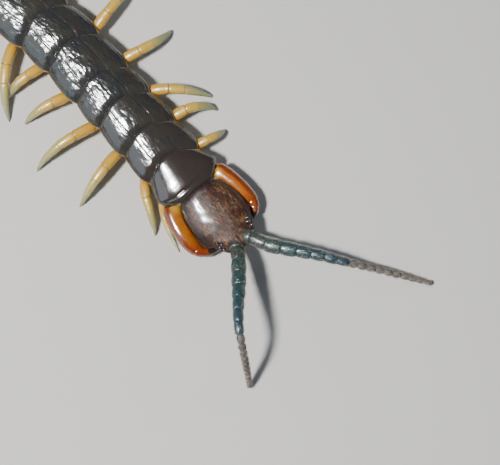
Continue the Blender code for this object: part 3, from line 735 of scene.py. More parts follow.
def back_plate(number):
    """One back plate: the section of a plate carried along s, tucked under the plate before it,
    with its front and rear edges bowed backwards."""
    side, outer_turn, inner_turn = plate_columns(121)
    share, thick_share = plate_rows(34)
    start, end = PLATE_ENDS[number - 1], PLATE_ENDS[number]
    field = 1 / (1 + np.exp((np.abs(side) - GROOVE_SHARE) / 0.03))
    bow = BOW * (BOW_MIDDLE - side**2) + FIELD_STEP * (field - FIELD_MIDDLE)
    if number == 1:
        start = FIRST_PLATE[0][0]
        s = start + share * (end - start)
        width, drop, sweep = read(FIRST_PLATE, s[:, 0]).T[..., None]
        corners = sweep * np.maximum(0.0, np.abs(side * width) - CORNER_START)
        s = s + bow * share**2 + corners
    else:
        s = start - TUCK + share * (end - start + TUCK)
        a = (s - start) / (end - start)
        front = np.clip(1 - a / FRONT_SHARE, 0, 1)
        rear = np.clip((a - FRONT_SHARE) / (1 - FRONT_SHARE), 0, 1)
        narrowing = FRONT_NARROWING * front**2.2 + REAR_NARROWING * rear**1.8
        width = straight(WIDTH_PAIRS, number) * (1 - narrowing)
        dip = np.clip(1 - a / DIP_SHARE, 0, 1) ** 1.6
        drop = PLATE_DIP * dip + PLATE_SLOPE * (1 - a) ** 2
        s = s + bow
    rim = straight(RIM_PAIRS, s)
    top = straight(TOP_PAIRS, s) - drop
    thick = PLATE_THICK * thick_share
    lowered = (PLATE_THICK - thick) / 2
    grids = []
    for turn in (outer_turn, inner_turn):
        u, z = section(side, turn, width, rim, top, thick, PLATE_CURL)
        relief = back_relief(number, s - s[:1], s[-1:] - s, u, width) * (turn == 0)
        points = place(s, u, z - lowered + relief)
        lie = (s, u, POLISH.get(number, 0.0))
        grids.append(notes(points, share, side, own_tone(number), lie))
    return shell(*grids)


def length_node(number):
    """The solid that holds a segment's part of the trunk."""
    first = (number - 1) // 3 * 3 + 1
    return f"trunk_{first:02d}_to_{first + 2:02d}"


for number in range(1, SEGMENTS + 1):
    name = f"back_plate_{number:02d}"
    make_piece(name, [back_plate(number)], back_finish, [length_node(number)])
print(SEGMENTS, "back plates of", len(back_plate(2)[1]), "faces each")

# %% [markdown]
# ## The skin between the plates
# Between the back and belly plates the animal is soft: a pale, folded skin that lets it breathe
# and swell. One tube runs the whole length just inside the plates, pinched at each joint, with
# fine lengthwise pleats.

# %% The skin
SKIN_SIDE = 0.84
SKIN_BELOW_TOP = 0.85
SKIN_SINK = 4.0
SKIN_PINCH = 0.035
SKIN_FRONT = -0.9
SKIN_SHORT = 0.3
SKIN_STEP = 0.35
SKIN_SIDES = 72
PLEAT_HEIGHT = 0.05
BELLY = 1.6
SKIN_POWER_UP = 2.2
SKIN_POWER_DOWN = 4.5


def folded_skin():
    """Painted shade down in the creases and painted light on their crests, with grime in clouds."""
    material, v = start_material(
        "folded_skin",
        Subsurface_Weight=0.2,
        Subsurface_Radius=(1.0, 0.6, 0.3),
        Subsurface_Scale=0.0006,
    )
    s, u, z = v.note("lie")
    folds_and_shade = v.noise(s * 0.9, z * 6.0, u * 0.8, 3.0)
    cross_folds = v.noise(s * 6.0, z * 1.6, u, 2.0)
    grime = v.noise(s * 0.5, z * 0.7, u * 0.5)
    # Painted shade and light: the ramp on the bump's noise is darkest in the creases and palest on the
    # crests.
    colour = folds_and_shade.ramp((0.3, (0.06, 0.05, 0.028)), (0.5, (0.22, 0.17, 0.075)), (0.7, (0.4, 0.31, 0.14)))
    colour = mix(grime.between(0.5, 0.75) * 0.7, colour, (0.07, 0.075, 0.055))
    rough = 0.42 + cross_folds * 0.25
    return paint(material, folds_and_shade + cross_folds * 0.5, 0.12, Base_Color=colour, Roughness=rough)


def trunk_skin():
    """Rings of two half superellipses, a round one above the rim's height and a boxy one below it.
    Their size swells in each segment's middle, and small pleats run along the sides."""
    s = np.arange(SKIN_FRONT, TRUNK_END - SKIN_SHORT, SKIN_STEP)[:, None]
    angle = angles(SKIN_SIDES)[None, :]
    clipped = np.maximum(s, 0.0)
    number = np.searchsorted(PLATE_ENDS, clipped, side="right")
    number = np.clip(number, 1, SEGMENTS)
    share = (clipped - PLATE_ENDS[number - 1]) / (PLATE_ENDS[number] - PLATE_ENDS[number - 1])
    swell = 1 - SKIN_PINCH * (1 - np.sin(math.pi * share))
    ends = 0.55 + 0.45 * np.sqrt(np.clip((s - SKIN_FRONT) / 2.2, 0, 1))
    width = straight(WIDTH_PAIRS, plate_number(clipped)) * SKIN_SIDE * swell * ends
    rim = straight(RIM_PAIRS, clipped) - 0.25
    top = straight(TOP_PAIRS, clipped) - SKIN_BELOW_TOP - SKIN_SINK * (1 - swell)
    cosine, sine = np.cos(angle), np.sin(angle)
    power = np.where(sine > 0, SKIN_POWER_UP, SKIN_POWER_DOWN)
    u = np.sign(cosine) * np.abs(cosine) ** (2 / power) * width
    upright = np.abs(sine) ** (2 / power)
    z = rim + np.where(sine > 0, (top - rim) * upright, (BELLY + 0.14 - rim) * upright)
    pleats = PLEAT_HEIGHT * np.sin(z * 11.0 + 1.5 * np.sin(s * 0.8)) * (np.abs(cosine) > 0.4)
    points = place(s, u + np.sign(u) * pleats, z)
    return tube(notes(points, share, cosine, 0.0, (s, u, z)))


skin_finish = folded_skin()
TRUNK_NODES = sorted(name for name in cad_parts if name.startswith("trunk_"))
make_piece("trunk_skin", [trunk_skin()], skin_finish, TRUNK_NODES)
print("skin over", len(TRUNK_NODES), "solids")

# %% [markdown]
# ## Belly plates
# The belly plates are flatter and paler, olive-brown with two grooves, and leave a strip of skin
# between them. They are the same kind of shell as the back plates, turned over.

# %% Belly plates
BELLY_WIDTH = 0.6
BELLY_GAP = 0.5
BELLY_RIM = 0.3
BELLY_BULGE = 0.06
BELLY_THICK = 0.25
BELLY_CURL = 0.1
BELLY_GROOVE_SHARE = 0.42
BELLY_GROOVE_DEPTH = 0.07
BELLY_SEED = 100
LAST_BELLY_CUT = 1.4
LAST_BELLY_TAPER = 0.35


def belly_shell():
    """Olive-brown clouds with darker grain, paler towards both sides."""
    material, v = start_material("belly_shell", Coat_Weight=0.25, Coat_Roughness=0.25)
    _, across, tone = v.note("marks")
    s, u, _ = v.note("lie")
    drift = v.noise(s * 0.3, u * 0.4, tone * 9.0)
    grain = v.noise(s * 1.2, u * 8.0, tone * 7.0, 4.0)
    colour = drift.ramp((0.3, (0.07, 0.06, 0.03)), (0.5, (0.15, 0.11, 0.045)), (0.7, (0.2, 0.125, 0.04)))
    colour = mix(across.size().between(0.8, 0.99), colour, (0.36, 0.24, 0.09))
    colour = mix(grain.between(0.5, 0.8) * 0.4, colour, (0.04, 0.035, 0.02))
    return paint(material, grain, 0.05, Base_Color=colour, Roughness=0.3 + grain * 0.25)


def belly_plate(number):
    """The plate's section with its top below its rim, so that it domes downwards. Its corners are
    rounded by narrowing it as a superellipse towards both ends."""
    side, outer_turn, inner_turn = plate_columns(45)
    share, thick_share = plate_rows(16)
    start, end = PLATE_ENDS[number - 1] + BELLY_GAP, PLATE_ENDS[number] - BELLY_GAP
    taper = 1.0
    if number == SEGMENTS:
        end -= LAST_BELLY_CUT
        taper = 1 - LAST_BELLY_TAPER * share
    s = start + share * (end - start)
    corner = (1 - np.abs(2 * share - 1) ** 6) ** (1 / 6)
    width = straight(WIDTH_PAIRS, number) * BELLY_WIDTH * (0.72 + 0.28 * corner) * taper
    rim, top = BELLY + BELLY_RIM, BELLY - BELLY_BULGE
    grids = []
    for turn in (outer_turn, inner_turn):
        u, z = section(side, turn, width, rim, top, -BELLY_THICK * thick_share, -BELLY_CURL)
        grooves = BELLY_GROOVE_DEPTH * bell(np.abs(u) - BELLY_GROOVE_SHARE * width, 0.14)
        bumps = 0.03 * dents(s, u, BELLY_SEED + number)
        points = place(s, u, z + (grooves + bumps) * (turn == 0))
        grids.append(notes(points, share, side, own_tone(number), (s, u, z)))
    return shell(*grids)


belly_finish = belly_shell()
belly_parts = [belly_plate(number) for number in range(1, SEGMENTS + 1)]
make_piece("belly_plates", belly_parts, belly_finish, TRUNK_NODES)
print(len(belly_parts), "belly plates")

# %% [markdown]
# ## Walking legs: material
# The legs are honey-yellow and glassy, so light soaks into them a little. They fade to a greyish
# olive towards the claws, more on some legs than on others, and a thin brown line marks each
# joint.

# %% Material of the legs
LEG_STOPS = (
    (0.0, (0.48, 0.21, 0.014)),
    (0.12, (0.58, 0.32, 0.03)),
    (0.42, (0.6, 0.39, 0.055)),
    (0.6, (0.5, 0.42, 0.12)),
    (0.85, (0.42, 0.43, 0.21)),
    (1.0, (0.3, 0.24, 0.12)),
)
LEG_GREY = (0.15, 0.19, 0.12)
LEG_OCHRE = (0.38, 0.22, 0.06)
GRAIN_BROWN = (0.3, 0.2, 0.08)
JOINT_BROWN = (0.13, 0.06, 0.015)


def leg_shell():
    """Yellow fading to grey-green along the leg, with ochre clouds, grain and brown joints."""
    material, v = start_material(
        "leg_shell",
        Subsurface_Weight=0.3,
        Subsurface_Radius=(1.0, 0.55, 0.2),
        Subsurface_Scale=0.0007,
        Coat_Weight=0.35,
        Coat_Roughness=0.12,
    )
    along, fraction, tone = v.note("marks")
    d, around, offset = v.note("lie")
    mottle = v.noise(d * 0.7, around * 0.9, offset)
    grain = v.noise(d * 1.5, around * 9.0, offset, 4.0)
    colour = along.ramp(*LEG_STOPS)
    colour = mix(along.between(0.42, 0.72) * tone * 0.8, colour, LEG_GREY)
    colour = mix(mottle.between(0.45, 0.75) * 0.35, colour, LEG_OCHRE)
    colour = mix(grain.between(0.55, 0.8) * 0.25, colour, GRAIN_BROWN)
    joint = 1 - fraction.between(0.012, 0.05)
    colour = mix(joint * 0.35, colour, JOINT_BROWN)
    return paint(material, grain + mottle, 0.035, Base_Color=colour, Roughness=0.28 + grain * 0.2)


leg_finish = leg_shell()
print("made", leg_finish.name)

# %% [markdown]
# ## Walking legs: shape
# Each leg is a chain of six hard sleeves, each with a narrow neck in the lip of the one before.
# One tube gives them all: its radius follows a table for the whole leg, times a factor that
# pinches at each neck and flares at each lip. Real sleeves are straight between the joints, so the
# smooth route of the solid is pulled part of the way to the straight lines between them. The
# front legs stand where the picture shows them, and the others step in a wave.

# %% Routes of the legs
WALL_SHARE = 0.8
GAP = 0.3
LEG_ROOT_BACK = 1.0
LEG_ROOT_Z = 3.2
FIRST_LEG_ROOT_Z = 2.9
LEG_SCALES = {1: 0.62, 2: 0.88}
LEG_ARCH_POWER = 1.3
# Each row of a seen leg: its root behind the plate's front edge, its foot ahead of the neck and to
# the left of it, how far it bows to the rear, and how high its arch is.
LEFT_LEGS = {
    1: (2.8, 3.9, 6.6, 0.0, -0.9),
    2: (-0.2, -5.75, 11.85, -0.4, 2.4),
    3: (0.1, -9.35, 13.3, 0.75, 2.4),
    4: (-0.35, -11.85, 14.3, 0.2, 2.3),
    5: (1.15, -26.4, 17.0, -0.7, 2.5),
    6: (0.45, -37.1, 18.25, 0.15, 2.9),
}
RIGHT_LEGS = {
    1: (2.95, 5.85, -9.3, 0.3, -0.3),
    2: (0.4, 0.65, -10.65, -0.1, 2.0),
    3: (0.9, -12.55, -17.5, 0.05, 2.8),
    4: (0.5, -22.7, -19.05, 0.6, 3.0),
    5: (1.75, -30.9, -15.05, 0.3, 2.35),
    6: (1.3, -36.4, -14.75, 0.45, 2.3),
    7: (1.25, -33.1, -16.85, 0.75, 2.6),
}
KNOWN_OUT_SHARE = 0.15
WAVE_OUT_SHARE = 0.3
WAVE_BOW = 0.45
WAVE_ARCH = 3.0
SWING = 26.0
WAVE_LENGTH = 8.0
WAVE_STARTS = {1: 4.0, -1: 7.0}
REAR_TURN = 28.0
TURN_FROM = 8
LEG_CURVE_POINTS = 121
REACH_PAIRS = ((6, 12.6), (15, 13.0), (20, 14.2))
LAST_LEG_ROOT_U = 2.75
LAST_LEG_ROOT_Z = 3.35
LAST_LEG_POINTS = ((7.0, 1.9, 4.3), (13.5, 5.0, 4.2), (20.5, 7.4, 2.4), (26.0, 7.9, 0.0))


def leg_curve(number, side):
    """A walking leg's route: a cubic Bezier in plan, straight out from the body at first and then
    bowed to the rear, and an arch t^p (1 - t) over the line from the root down to the foot."""
    known = (LEFT_LEGS if side == 1 else RIGHT_LEGS).get(number)
    s = PLATE_ENDS[number - 1] + (known[0] if known else LEG_ROOT_BACK)
    wall = WALL_SHARE * straight(WIDTH_PAIRS, plate_number(s))
    root = place(s, side * (wall + GAP), FIRST_LEG_ROOT_Z if number == 1 else LEG_ROOT_Z)
    forward, left = axes_at(s)
    out = side * left
    if known:
        foot = NECK + (known[1], known[2], 0.0)
        out_share, bow, arch = KNOWN_OUT_SHARE, known[3], known[4]
    else:
        swing = SWING * math.cos(2 * math.pi * (number - WAVE_STARTS[side]) / WAVE_LENGTH)
        turn = math.radians(swing - REAR_TURN * max(0, number - TURN_FROM) / (SEGMENTS - TURN_FROM))
        foot = root + straight(REACH_PAIRS, number) * (math.cos(turn) * out + math.sin(turn) * forward)
        out_share, bow, arch = WAVE_OUT_SHARE, WAVE_BOW, WAVE_ARCH
    flat = (foot - root) * (1, 1, 0)
    reach = np.linalg.norm(flat)
    rearward = np.cross(flat, (0.0, 0.0, 1.0)) / reach
    rearward *= -np.sign(np.dot(rearward, forward)) or 1.0
    t = np.linspace(0, 1, LEG_CURVE_POINTS)[:, None]
    first = root + out * reach * out_share
    second = root + flat * 2 / 3 + rearward * bow * 8 / 3
    curve = root * (1 - t) ** 3 + 3 * first * t * (1 - t) ** 2 + 3 * second * t**2 * (1 - t)
    curve += (root + flat) * t**3
    peak = LEG_ARCH_POWER / (1 + LEG_ARCH_POWER)
    bump = t**LEG_ARCH_POWER * (1 - t) / (peak**LEG_ARCH_POWER * (1 - peak))
    curve[:, 2:] = root[2] * (1 - t) + arch * bump
    return curve, out


def last_leg_curve(side):
    """The last pair trails behind the body: a smooth curve through a few points."""
    forward, left = axes_at(TRUNK_END)
    root = place(TRUNK_END - GAP / 2, side * LAST_LEG_ROOT_U, LAST_LEG_ROOT_Z) - forward * GAP
    points = [root]
    for back, outward, height in LAST_LEG_POINTS:
        point = root - forward * back + side * left * outward
        point[2] = height
        points.append(point)
    return curve_through(points), -forward


print("the left leg 5 is", round(float(length_of(leg_curve(5, 1)[0])), 1), "mm long")

# %% Sleeves of the legs
LAST_LEG_SCALE = 1.32
LEG_SIZE = (
    (-0.1, 0.8),
    (0.0, 0.92),
    (0.15, 1.04),
    (0.31, 0.97),
    (0.52, 0.86),
    (0.77, 0.58),
    (0.9, 0.36),
    (0.965, 0.24),
    (1.0, 0.18),
)
SLEEVE_ENDS = (0.05, 0.31, 0.52, 0.77, 0.885, 0.965)
LAST_SLEEVE_ENDS = (0.02, 0.27, 0.49, 0.72, 0.86, 0.965)
SLEEVE_STEPS = np.array([0, 0.02, 0.06, 0.12, 0.22, 0.36, 0.52, 0.68, 0.82, 0.91, 0.96, 0.985, 1.0])
NECK_PINCH = 0.2
LIP_FLARE = 0.05
LIP_EDGE = 0.04
LEG_INSIDE = 1.1
LEG_SIDES = 24
STRAIGHTEN = 0.5
FLOOR_ROOM = 0.04


def steps_between(bounds, steps):
    """The same steps, as fractions, in each stretch between neighbouring bounds, one row each."""
    return bounds[:-1, None] + steps * np.diff(bounds)[:, None]


def sleeves(ends, length):
    """The distances of the rings of a chain of sleeves, their fractions in their sleeve, and the
    factor on the radius: 1, less a pinch that dies away behind the neck, plus a flare at the lip."""
    bounds = np.concatenate([[-LEG_INSIDE], np.asarray(ends) * length])
    size = np.diff(bounds)[:, None]
    distance = steps_between(bounds, SLEEVE_STEPS)
    before = SLEEVE_STEPS * size
    after = size - before
    flare = LIP_FLARE * bell(after - 0.12, 0.16) - LIP_EDGE * bell(after, 0.05)
    factor = 1 - NECK_PINCH * np.exp(-before / 0.24) + flare
    fraction = np.broadcast_to(np.minimum(SLEEVE_STEPS, 1 - SLEEVE_STEPS), distance.shape)
    return distance.ravel(), fraction.ravel(), factor.ravel()


def leg_tube(curve, out, scale, ends, tone, offset):
    """A leg as one tube of rings, from inside the body to the root of its claw."""
    length = length_of(curve)
    distance, fraction, factor = sleeves(ends, length)
    route = np.concatenate([[curve[0] - out * LEG_INSIDE], curve])
    travelled = distance + LEG_INSIDE
    centre, _, side, above = walk(route, travelled)
    knots = np.concatenate([[0.0], LEG_INSIDE + np.asarray(ends) * length])
    corners = walk(route, knots)[0]
    chord = np.stack([np.interp(travelled, knots, corners[:, axis]) for axis in range(3)], axis=-1)
    centre = centre + STRAIGHTEN * (chord - centre)
    radius = read(LEG_SIZE, distance / length) * scale * factor
    centre[:, 2] = np.maximum(centre[:, 2], radius + FLOOR_ROOM)
    grid, angle = rings(centre, side, above, radius, radius, LEG_SIDES)
    lie = (distance[:, None], angle, offset)
    return tube(notes(grid, (distance / length)[:, None], fraction[:, None], tone, lie))


print("each leg's tube has", len(SLEEVE_ENDS) * len(SLEEVE_STEPS), "rings")

# %% Claws, spurs and all the legs
CLAW_SHARES = (0.93, 0.95, 0.965, 0.98, 0.99, 1.0)
CLAW_RADII = (0.16, 0.17, 0.16, 0.13, 0.08, 0.03)
SPUR_STEPS = np.array([[0.6, 0.0], [1.0, 0.12], [1.25, 0.42], [1.3, 0.72]])
SPUR_RADII = np.array([0.1, 0.1, 0.06, 0.015])
SPUR_LOWEST = 0.06
SPUR_PLACES = ((0.765, 0.9), (0.765, 2.2), (0.88, 1.5))
TONE_SEED = 21


def leg_claw(curve, scale):
    """A claw: a cone along the last stretch of the route, curving down on to the floor."""
    points = walk(curve, np.array(CLAW_SHARES) * length_of(curve))[0]
    radii = np.array(CLAW_RADII) * (0.6 + 0.4 * scale)
    points[:, 2] = np.maximum(points[:, 2], radii + 0.01)
    return cone(points, radii, 10)


def thorn_points(curve, share, scale, turn, steps, inward=1.0):
    """The line of a thorn at a share of a leg's route. Each step goes some of the leg's radii out,
    at a turn below its level side, and some millimetres on towards the claw."""
    at = np.array([share * length_of(curve)])
    centre, forward, level, above = (value[0] for value in walk(curve, at))
    radius = read(LEG_SIZE, share) * scale
    out = math.cos(turn) * inward * level - math.sin(turn) * above
    return centre + out * (radius * steps[:, :1]) + forward * steps[:, 1:]


def leg_spur(curve, scale, share, turn):
    """A short spur at a joint, leaning towards the claw."""
    points = thorn_points(curve, share, scale, turn, SPUR_STEPS)
    points[:, 2] = np.maximum(points[:, 2], SPUR_LOWEST)
    return cone(points, SPUR_RADII * (0.5 + 0.5 * scale), 6)


tones = np.random.default_rng(TONE_SEED)
claws, spurs, leg_curves = [], [], {}
for side, word in ((1, "left"), (-1, "right")):
    for number in range(1, SEGMENTS + 1):
        last = number == SEGMENTS
        curve, out = last_leg_curve(side) if last else leg_curve(number, side)
        scale = LAST_LEG_SCALE if last else LEG_SCALES.get(number, 1.0)
        leg_curves[number, side] = curve
        ends = LAST_SLEEVE_ENDS if last else SLEEVE_ENDS
        tone = tones.uniform(0.55, 1.0) if side == 1 else tones.uniform(0.1, 0.6)
        part = leg_tube(curve, out, scale, ends, tone, number * 7.3 + side)
        node = f"leg_{word}_{number:02d}"
        make_piece(f"walking_{node}", [part], leg_finish, [node])
        claws.append(leg_claw(curve, scale))
        if not last:
            spurs += [leg_spur(curve, scale, share, turn) for share, turn in SPUR_PLACES]
print(len(claws), "legs of", len(part[1]), "faces each")

# %% [markdown]
# ## Claws, spurs and teeth
# The tips that wear most are the hardest: nearly black, glossy and a little red where they are
# thin. They are joined into a few pieces, because each is tiny.

# %% Material of the claws, and the claws of the legs
HORN_STOPS = (
    (0.0, (0.16, 0.05, 0.012)),
    (0.45, (0.03, 0.012, 0.006)),
    (1.0, (0.008, 0.006, 0.005)),
)
HORN_RED = (0.12, 0.045, 0.015)


def dark_horn():
    """Red-brown at a claw's root and black at its tip, with reddish streaks."""
    material, v = start_material("dark_horn", Coat_Weight=0.4, Coat_Roughness=0.1)
    along, _, _ = v.note("marks")
    x, y, z = v.note("lie")
    streaks = v.noise(x * 3.0, y * 3.0, z * 3.0)
    colour = along.ramp(*HORN_STOPS)
    colour = mix(streaks.between(0.5, 0.8) * 0.4, colour, HORN_RED)
    return paint(material, streaks, 0.02, Base_Color=colour, Roughness=0.2 + streaks * 0.2)


horn_finish = dark_horn()
LEG_NODES = sorted(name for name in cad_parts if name.startswith("leg_"))
make_piece("leg_claws", claws, horn_finish, LEG_NODES)
make_piece("leg_spurs", spurs, horn_finish, LEG_NODES)
print(len(claws), "claws and", len(spurs), "spurs")

# %% [markdown]
# ## Spines of the last legs, side scales and breathing holes
# The last legs carry thorns under and inside their first long sleeve. Small scales strengthen the
# skin round each leg, and on nine segments a breathing hole opens above the leg as a dark slit
# in a raised ring.

# %% Small parts of the trunk
SPINE_SHARES = (0.07, 0.12, 0.17, 0.22)
SPINE_TURNS = (-0.35, 0.45, 1.2)
SPINE_PLACES = tuple((share, turn) for share in SPINE_SHARES for turn in SPINE_TURNS)
SPINE_STEPS = np.array([[0.7, 0.0], [1.0, 0.05], [1.25, 0.2], [1.55, 0.5]])
SPINE_RADII = (0.3, 0.27, 0.17, 0.03)
# Each row of a scale: how far behind the leg's root it lies, its height, and half its two sizes.
SCALE_PLACES = (
    (-1.3, 3.55, 0.95, 0.5),
    (1.9, 3.6, 1.1, 0.55),
    (0.2, 2.15, 1.5, 0.32),
    (3.9, 3.1, 0.8, 0.6),
)
SCALE_SINK = 0.05
SCALE_BULGE = 0.22
SPIRACLE_SEGMENTS = (3, 5, 8, 10, 12, 14, 16, 18, 20)
SPIRACLE_BACK = 3.1
SPIRACLE_Z = 4.0
SPIRACLE_OVAL = (0.75, 0.36)
SPIRACLE_SLIT = (0.1, 0.7, 0.3)


def last_leg_spine(side, share, turn):
    """A thorn on a last leg: a cone that leaves the sleeve at a turn below its inner side."""
    curve = leg_curves[SEGMENTS, side]
    level = walk(curve, np.array([share * length_of(curve)]))[2][0]
    inward = -np.sign(np.dot(level, side * axes_at(TRUNK_END)[1]))
    points = thorn_points(curve, share, LAST_LEG_SCALE, turn, SPINE_STEPS, inward)
    return cone(points, SPINE_RADII, 8)


def side_spot(number, side, back, z, deep):
    """A place on the skin's side wall, behind the leg's root, and its forward and outward
    directions."""
    s = PLATE_ENDS[number - 1] + LEG_ROOT_BACK + back
    wall = WALL_SHARE * straight(WIDTH_PAIRS, plate_number(s)) - deep
    forward, left = axes_at(s)
    return place(s, side * wall, z), forward, side * left


def side_scale(number, side, back, z, long, high):
    """A scale: a flat ellipsoid, half sunk in the skin."""
    centre, forward, out = side_spot(number, side, back, z, SCALE_SINK)
    axes = [out * SCALE_BULGE, forward * long, UP * high]
    return ball(centre, axes, own_tone(number), 7, 14)


def spiracle(number, side):
    """A breathing hole: an oval ring that stands a little out of the skin, and a dark slit."""
    centre, forward, out = side_spot(number, side, SPIRACLE_BACK, SPIRACLE_Z, 0.0)
    long, high = SPIRACLE_OVAL
    grid, turn = oval_wire(centre, forward * long, UP * high, 0.13, 0.16)
    ring = joined_ring(notes(grid, 0.1, np.cos(turn), 0.0, grid.transpose(2, 0, 1)))
    deep, long, high = SPIRACLE_SLIT
    return ring, ball(centre, [out * deep, forward * long, UP * high], 0.5, 6, 14)


spines = [last_leg_spine(side, share, turn) for side in (1, -1) for share, turn in SPINE_PLACES]
make_piece("last_leg_spines", spines, horn_finish, ["leg_left_21", "leg_right_21"])
scales = [
    side_scale(number, side, *scale)
    for number in range(1, SEGMENTS)
    for side in (1, -1)
    for scale in SCALE_PLACES
    if not (number == 1 and scale[0] < 0)
]
make_piece("side_scales", scales, belly_finish, TRUNK_NODES)
slits, holes = zip(*[spiracle(number, side) for number in SPIRACLE_SEGMENTS for side in (1, -1)])
make_piece("breathing_rings", slits, belly_finish, TRUNK_NODES)
make_piece("breathing_slits", holes, horn_finish, TRUNK_NODES)
print(len(spines), "spines,", len(scales), "side scales,", len(slits), "breathing holes")

# %% [markdown]
# ## The last segment
# Beside the last legs' roots the body ends in two swollen side plates, each running back into a
# pointed process between the legs.

# %% Rear side plates
# Each row: how far behind the trunk's end, and half the width and height there.
REAR_PLATE = (
    (-4.6, 0.6, 0.5),
    (-3.6, 1.3, 1.0),
    (-1.8, 1.45, 1.15),
    (-0.4, 1.1, 0.95),
    (0.7, 0.55, 0.55),
    (1.9, 0.1, 0.1),
)
REAR_PLATE_U = 1.5
REAR_PLATE_SWING = 0.5
REAR_PLATE_Z = 2.55


def rear_side_plate(side):
    """A tapering tube beside the midline: rings at equal steps, from a swollen front to the
    pointed process, which turns inwards and rises a little."""
    start, end = REAR_PLATE[0][0], REAR_PLATE[-1][0]
    back = np.linspace(start, end, 26)
    wide, high = read(REAR_PLATE, back).T
    u = REAR_PLATE_U + REAR_PLATE_SWING * np.cos(np.clip((back + 2) / 3, -1, 1.2) * 1.3)
    u = u - 0.62 * np.clip(back, 0, None)
    z = REAR_PLATE_Z + 0.12 * np.clip(back + 1, 0, None)
    s = TRUNK_END + back
    left = axes_at(s)[1]
    grid, angle = rings(place(s, side * u, z), left, np.broadcast_to(UP, left.shape), wide, high, 28)
    share = (back[:, None] - start) / (end - start)
    return tube(notes(grid, share, np.cos(angle), 0.4, (s[:, None], angle, back[:, None])))


rear_parts = [rear_side_plate(side) for side in (1, -1)]
make_piece("rear_side_plates", rear_parts, belly_finish, ["trunk_19_to_21"])
print(len(rear_parts), "rear side plates")

# %% [markdown]
# ## Head shield: material
# The head shield is brown where the body is slate: dull and scuffed, with rusty patches and fine
# golden hair-scratches that run forwards, and smoother and greyer along its edges and at the
# back.

# %% Material of the head
UMBER_DARK = (0.019, 0.0085, 0.007)
RUST = (0.075, 0.019, 0.008)
GOLD = (0.52, 0.29, 0.11)
STEEL = (0.019, 0.017, 0.017)


def head_shell():
    """Umber and steel patches, rust and golden scratches, which stay off the edges and the rear."""
    material, v = start_material("head_shell", Coat_Roughness=0.16, Specular_IOR_Level=0.2)
    along, across, _ = v.note("marks")
    x, u, _ = v.note("lie")
    patches = v.noise(x * 0.55, u * 0.75, 3.0, 4.0, 0.6)
    rust = v.noise(x * 0.9, u * 1.3, 8.0, 5.0, 0.65)
    threads = v.noise(x * 1.0, u * 6.5, 1.0, 3.0, 0.6)
    hairs = v.noise(x * 0.9, u * 14.0, 5.0, 2.0)
    grit = v.noise(x * 4.0, u * 6.0, 2.0, 2.0)
    middle = (1 - across.size().between(0.7, 0.98)) * along.between(0.05, 0.25)
    colour = mix(patches.between(0.35, 0.65), UMBER_DARK, STEEL)
    colour = mix(rust.between(0.42, 0.62) * (0.25 + middle * 0.75), colour, RUST)
    golden = hairs.between(0.56, 0.65) * patches.between(0.42, 0.56) + grit.between(0.62, 0.72) * 0.6
    colour = mix(golden * middle, colour, GOLD)
    rough = 0.26 + middle * 0.1 + threads * 0.16
    relief = threads * 0.8 + rust * 0.9 + hairs * 0.5 + grit * 0.4 * middle
    coat = 0.8 - along.between(0.3, 0.65) * 0.6
    return paint(material, relief, 0.06, Base_Color=colour, Roughness=rough, Coat_Weight=coat)


head_finish = head_shell()
print("made", head_finish.name)

# %% [markdown]
# ## Head shield: shape
# Seen from above the head is a rounded shield, widest behind its middle, tucked under the first
# back plate. A table of rings from its rear to its front gives its outline, and the same rolled
# rim as on the plates ends it. A short groove splits its front between the antennae.

# %% Shape of the head
# Each row: distance ahead of the neck, half the width, and the heights of the underside, the rim
# and the top.
HEAD_TABLE = (
    (-0.5, 3.2, 5.0, 5.7, 6.75),
    (0.0, 3.75, 4.9, 5.6, 7.35),
    (0.6, 4.2, 4.8, 5.45, 7.68),
    (1.8, 4.75, 4.7, 5.35, 7.78),
    (3.6, 5.2, 4.7, 5.3, 7.72),
    (6.0, 5.4, 4.7, 5.3, 7.56),
    (8.2, 5.1, 4.7, 5.3, 7.32),
    (10.2, 4.4, 4.75, 5.3, 6.98),
    (11.8, 3.55, 4.85, 5.35, 6.62),
    (12.8, 2.6, 5.0, 5.45, 6.35),
    (13.25, 1.75, 5.15, 5.55, 6.1),
    (13.5, 0.6, 5.3, 5.65, 5.9),
)
HEAD_START = -0.5
HEAD_LENGTH = 14.0
HEAD_ROUND = 2.1
HEAD_LIFT = 1.5
HEAD_THICK = 0.3
HEAD_CURL = 0.25
HEAD_SEED = 77
SPLIT_DEPTH = 0.14
SPLIT_FROM = 10.4
REAR_GROOVE_DEPTH = 0.05
RIM_FURROW_DEPTH = 0.07
HEAD_DENT_HEIGHT = 0.07
LINING_GAP = 0.35
LINING_DROP = 0.15


def head_arch(side):
    """The rise across the head: (1 - |side|^p)^(1/q)."""
    return (1 - np.abs(side) ** HEAD_ROUND) ** (1 / HEAD_LIFT)


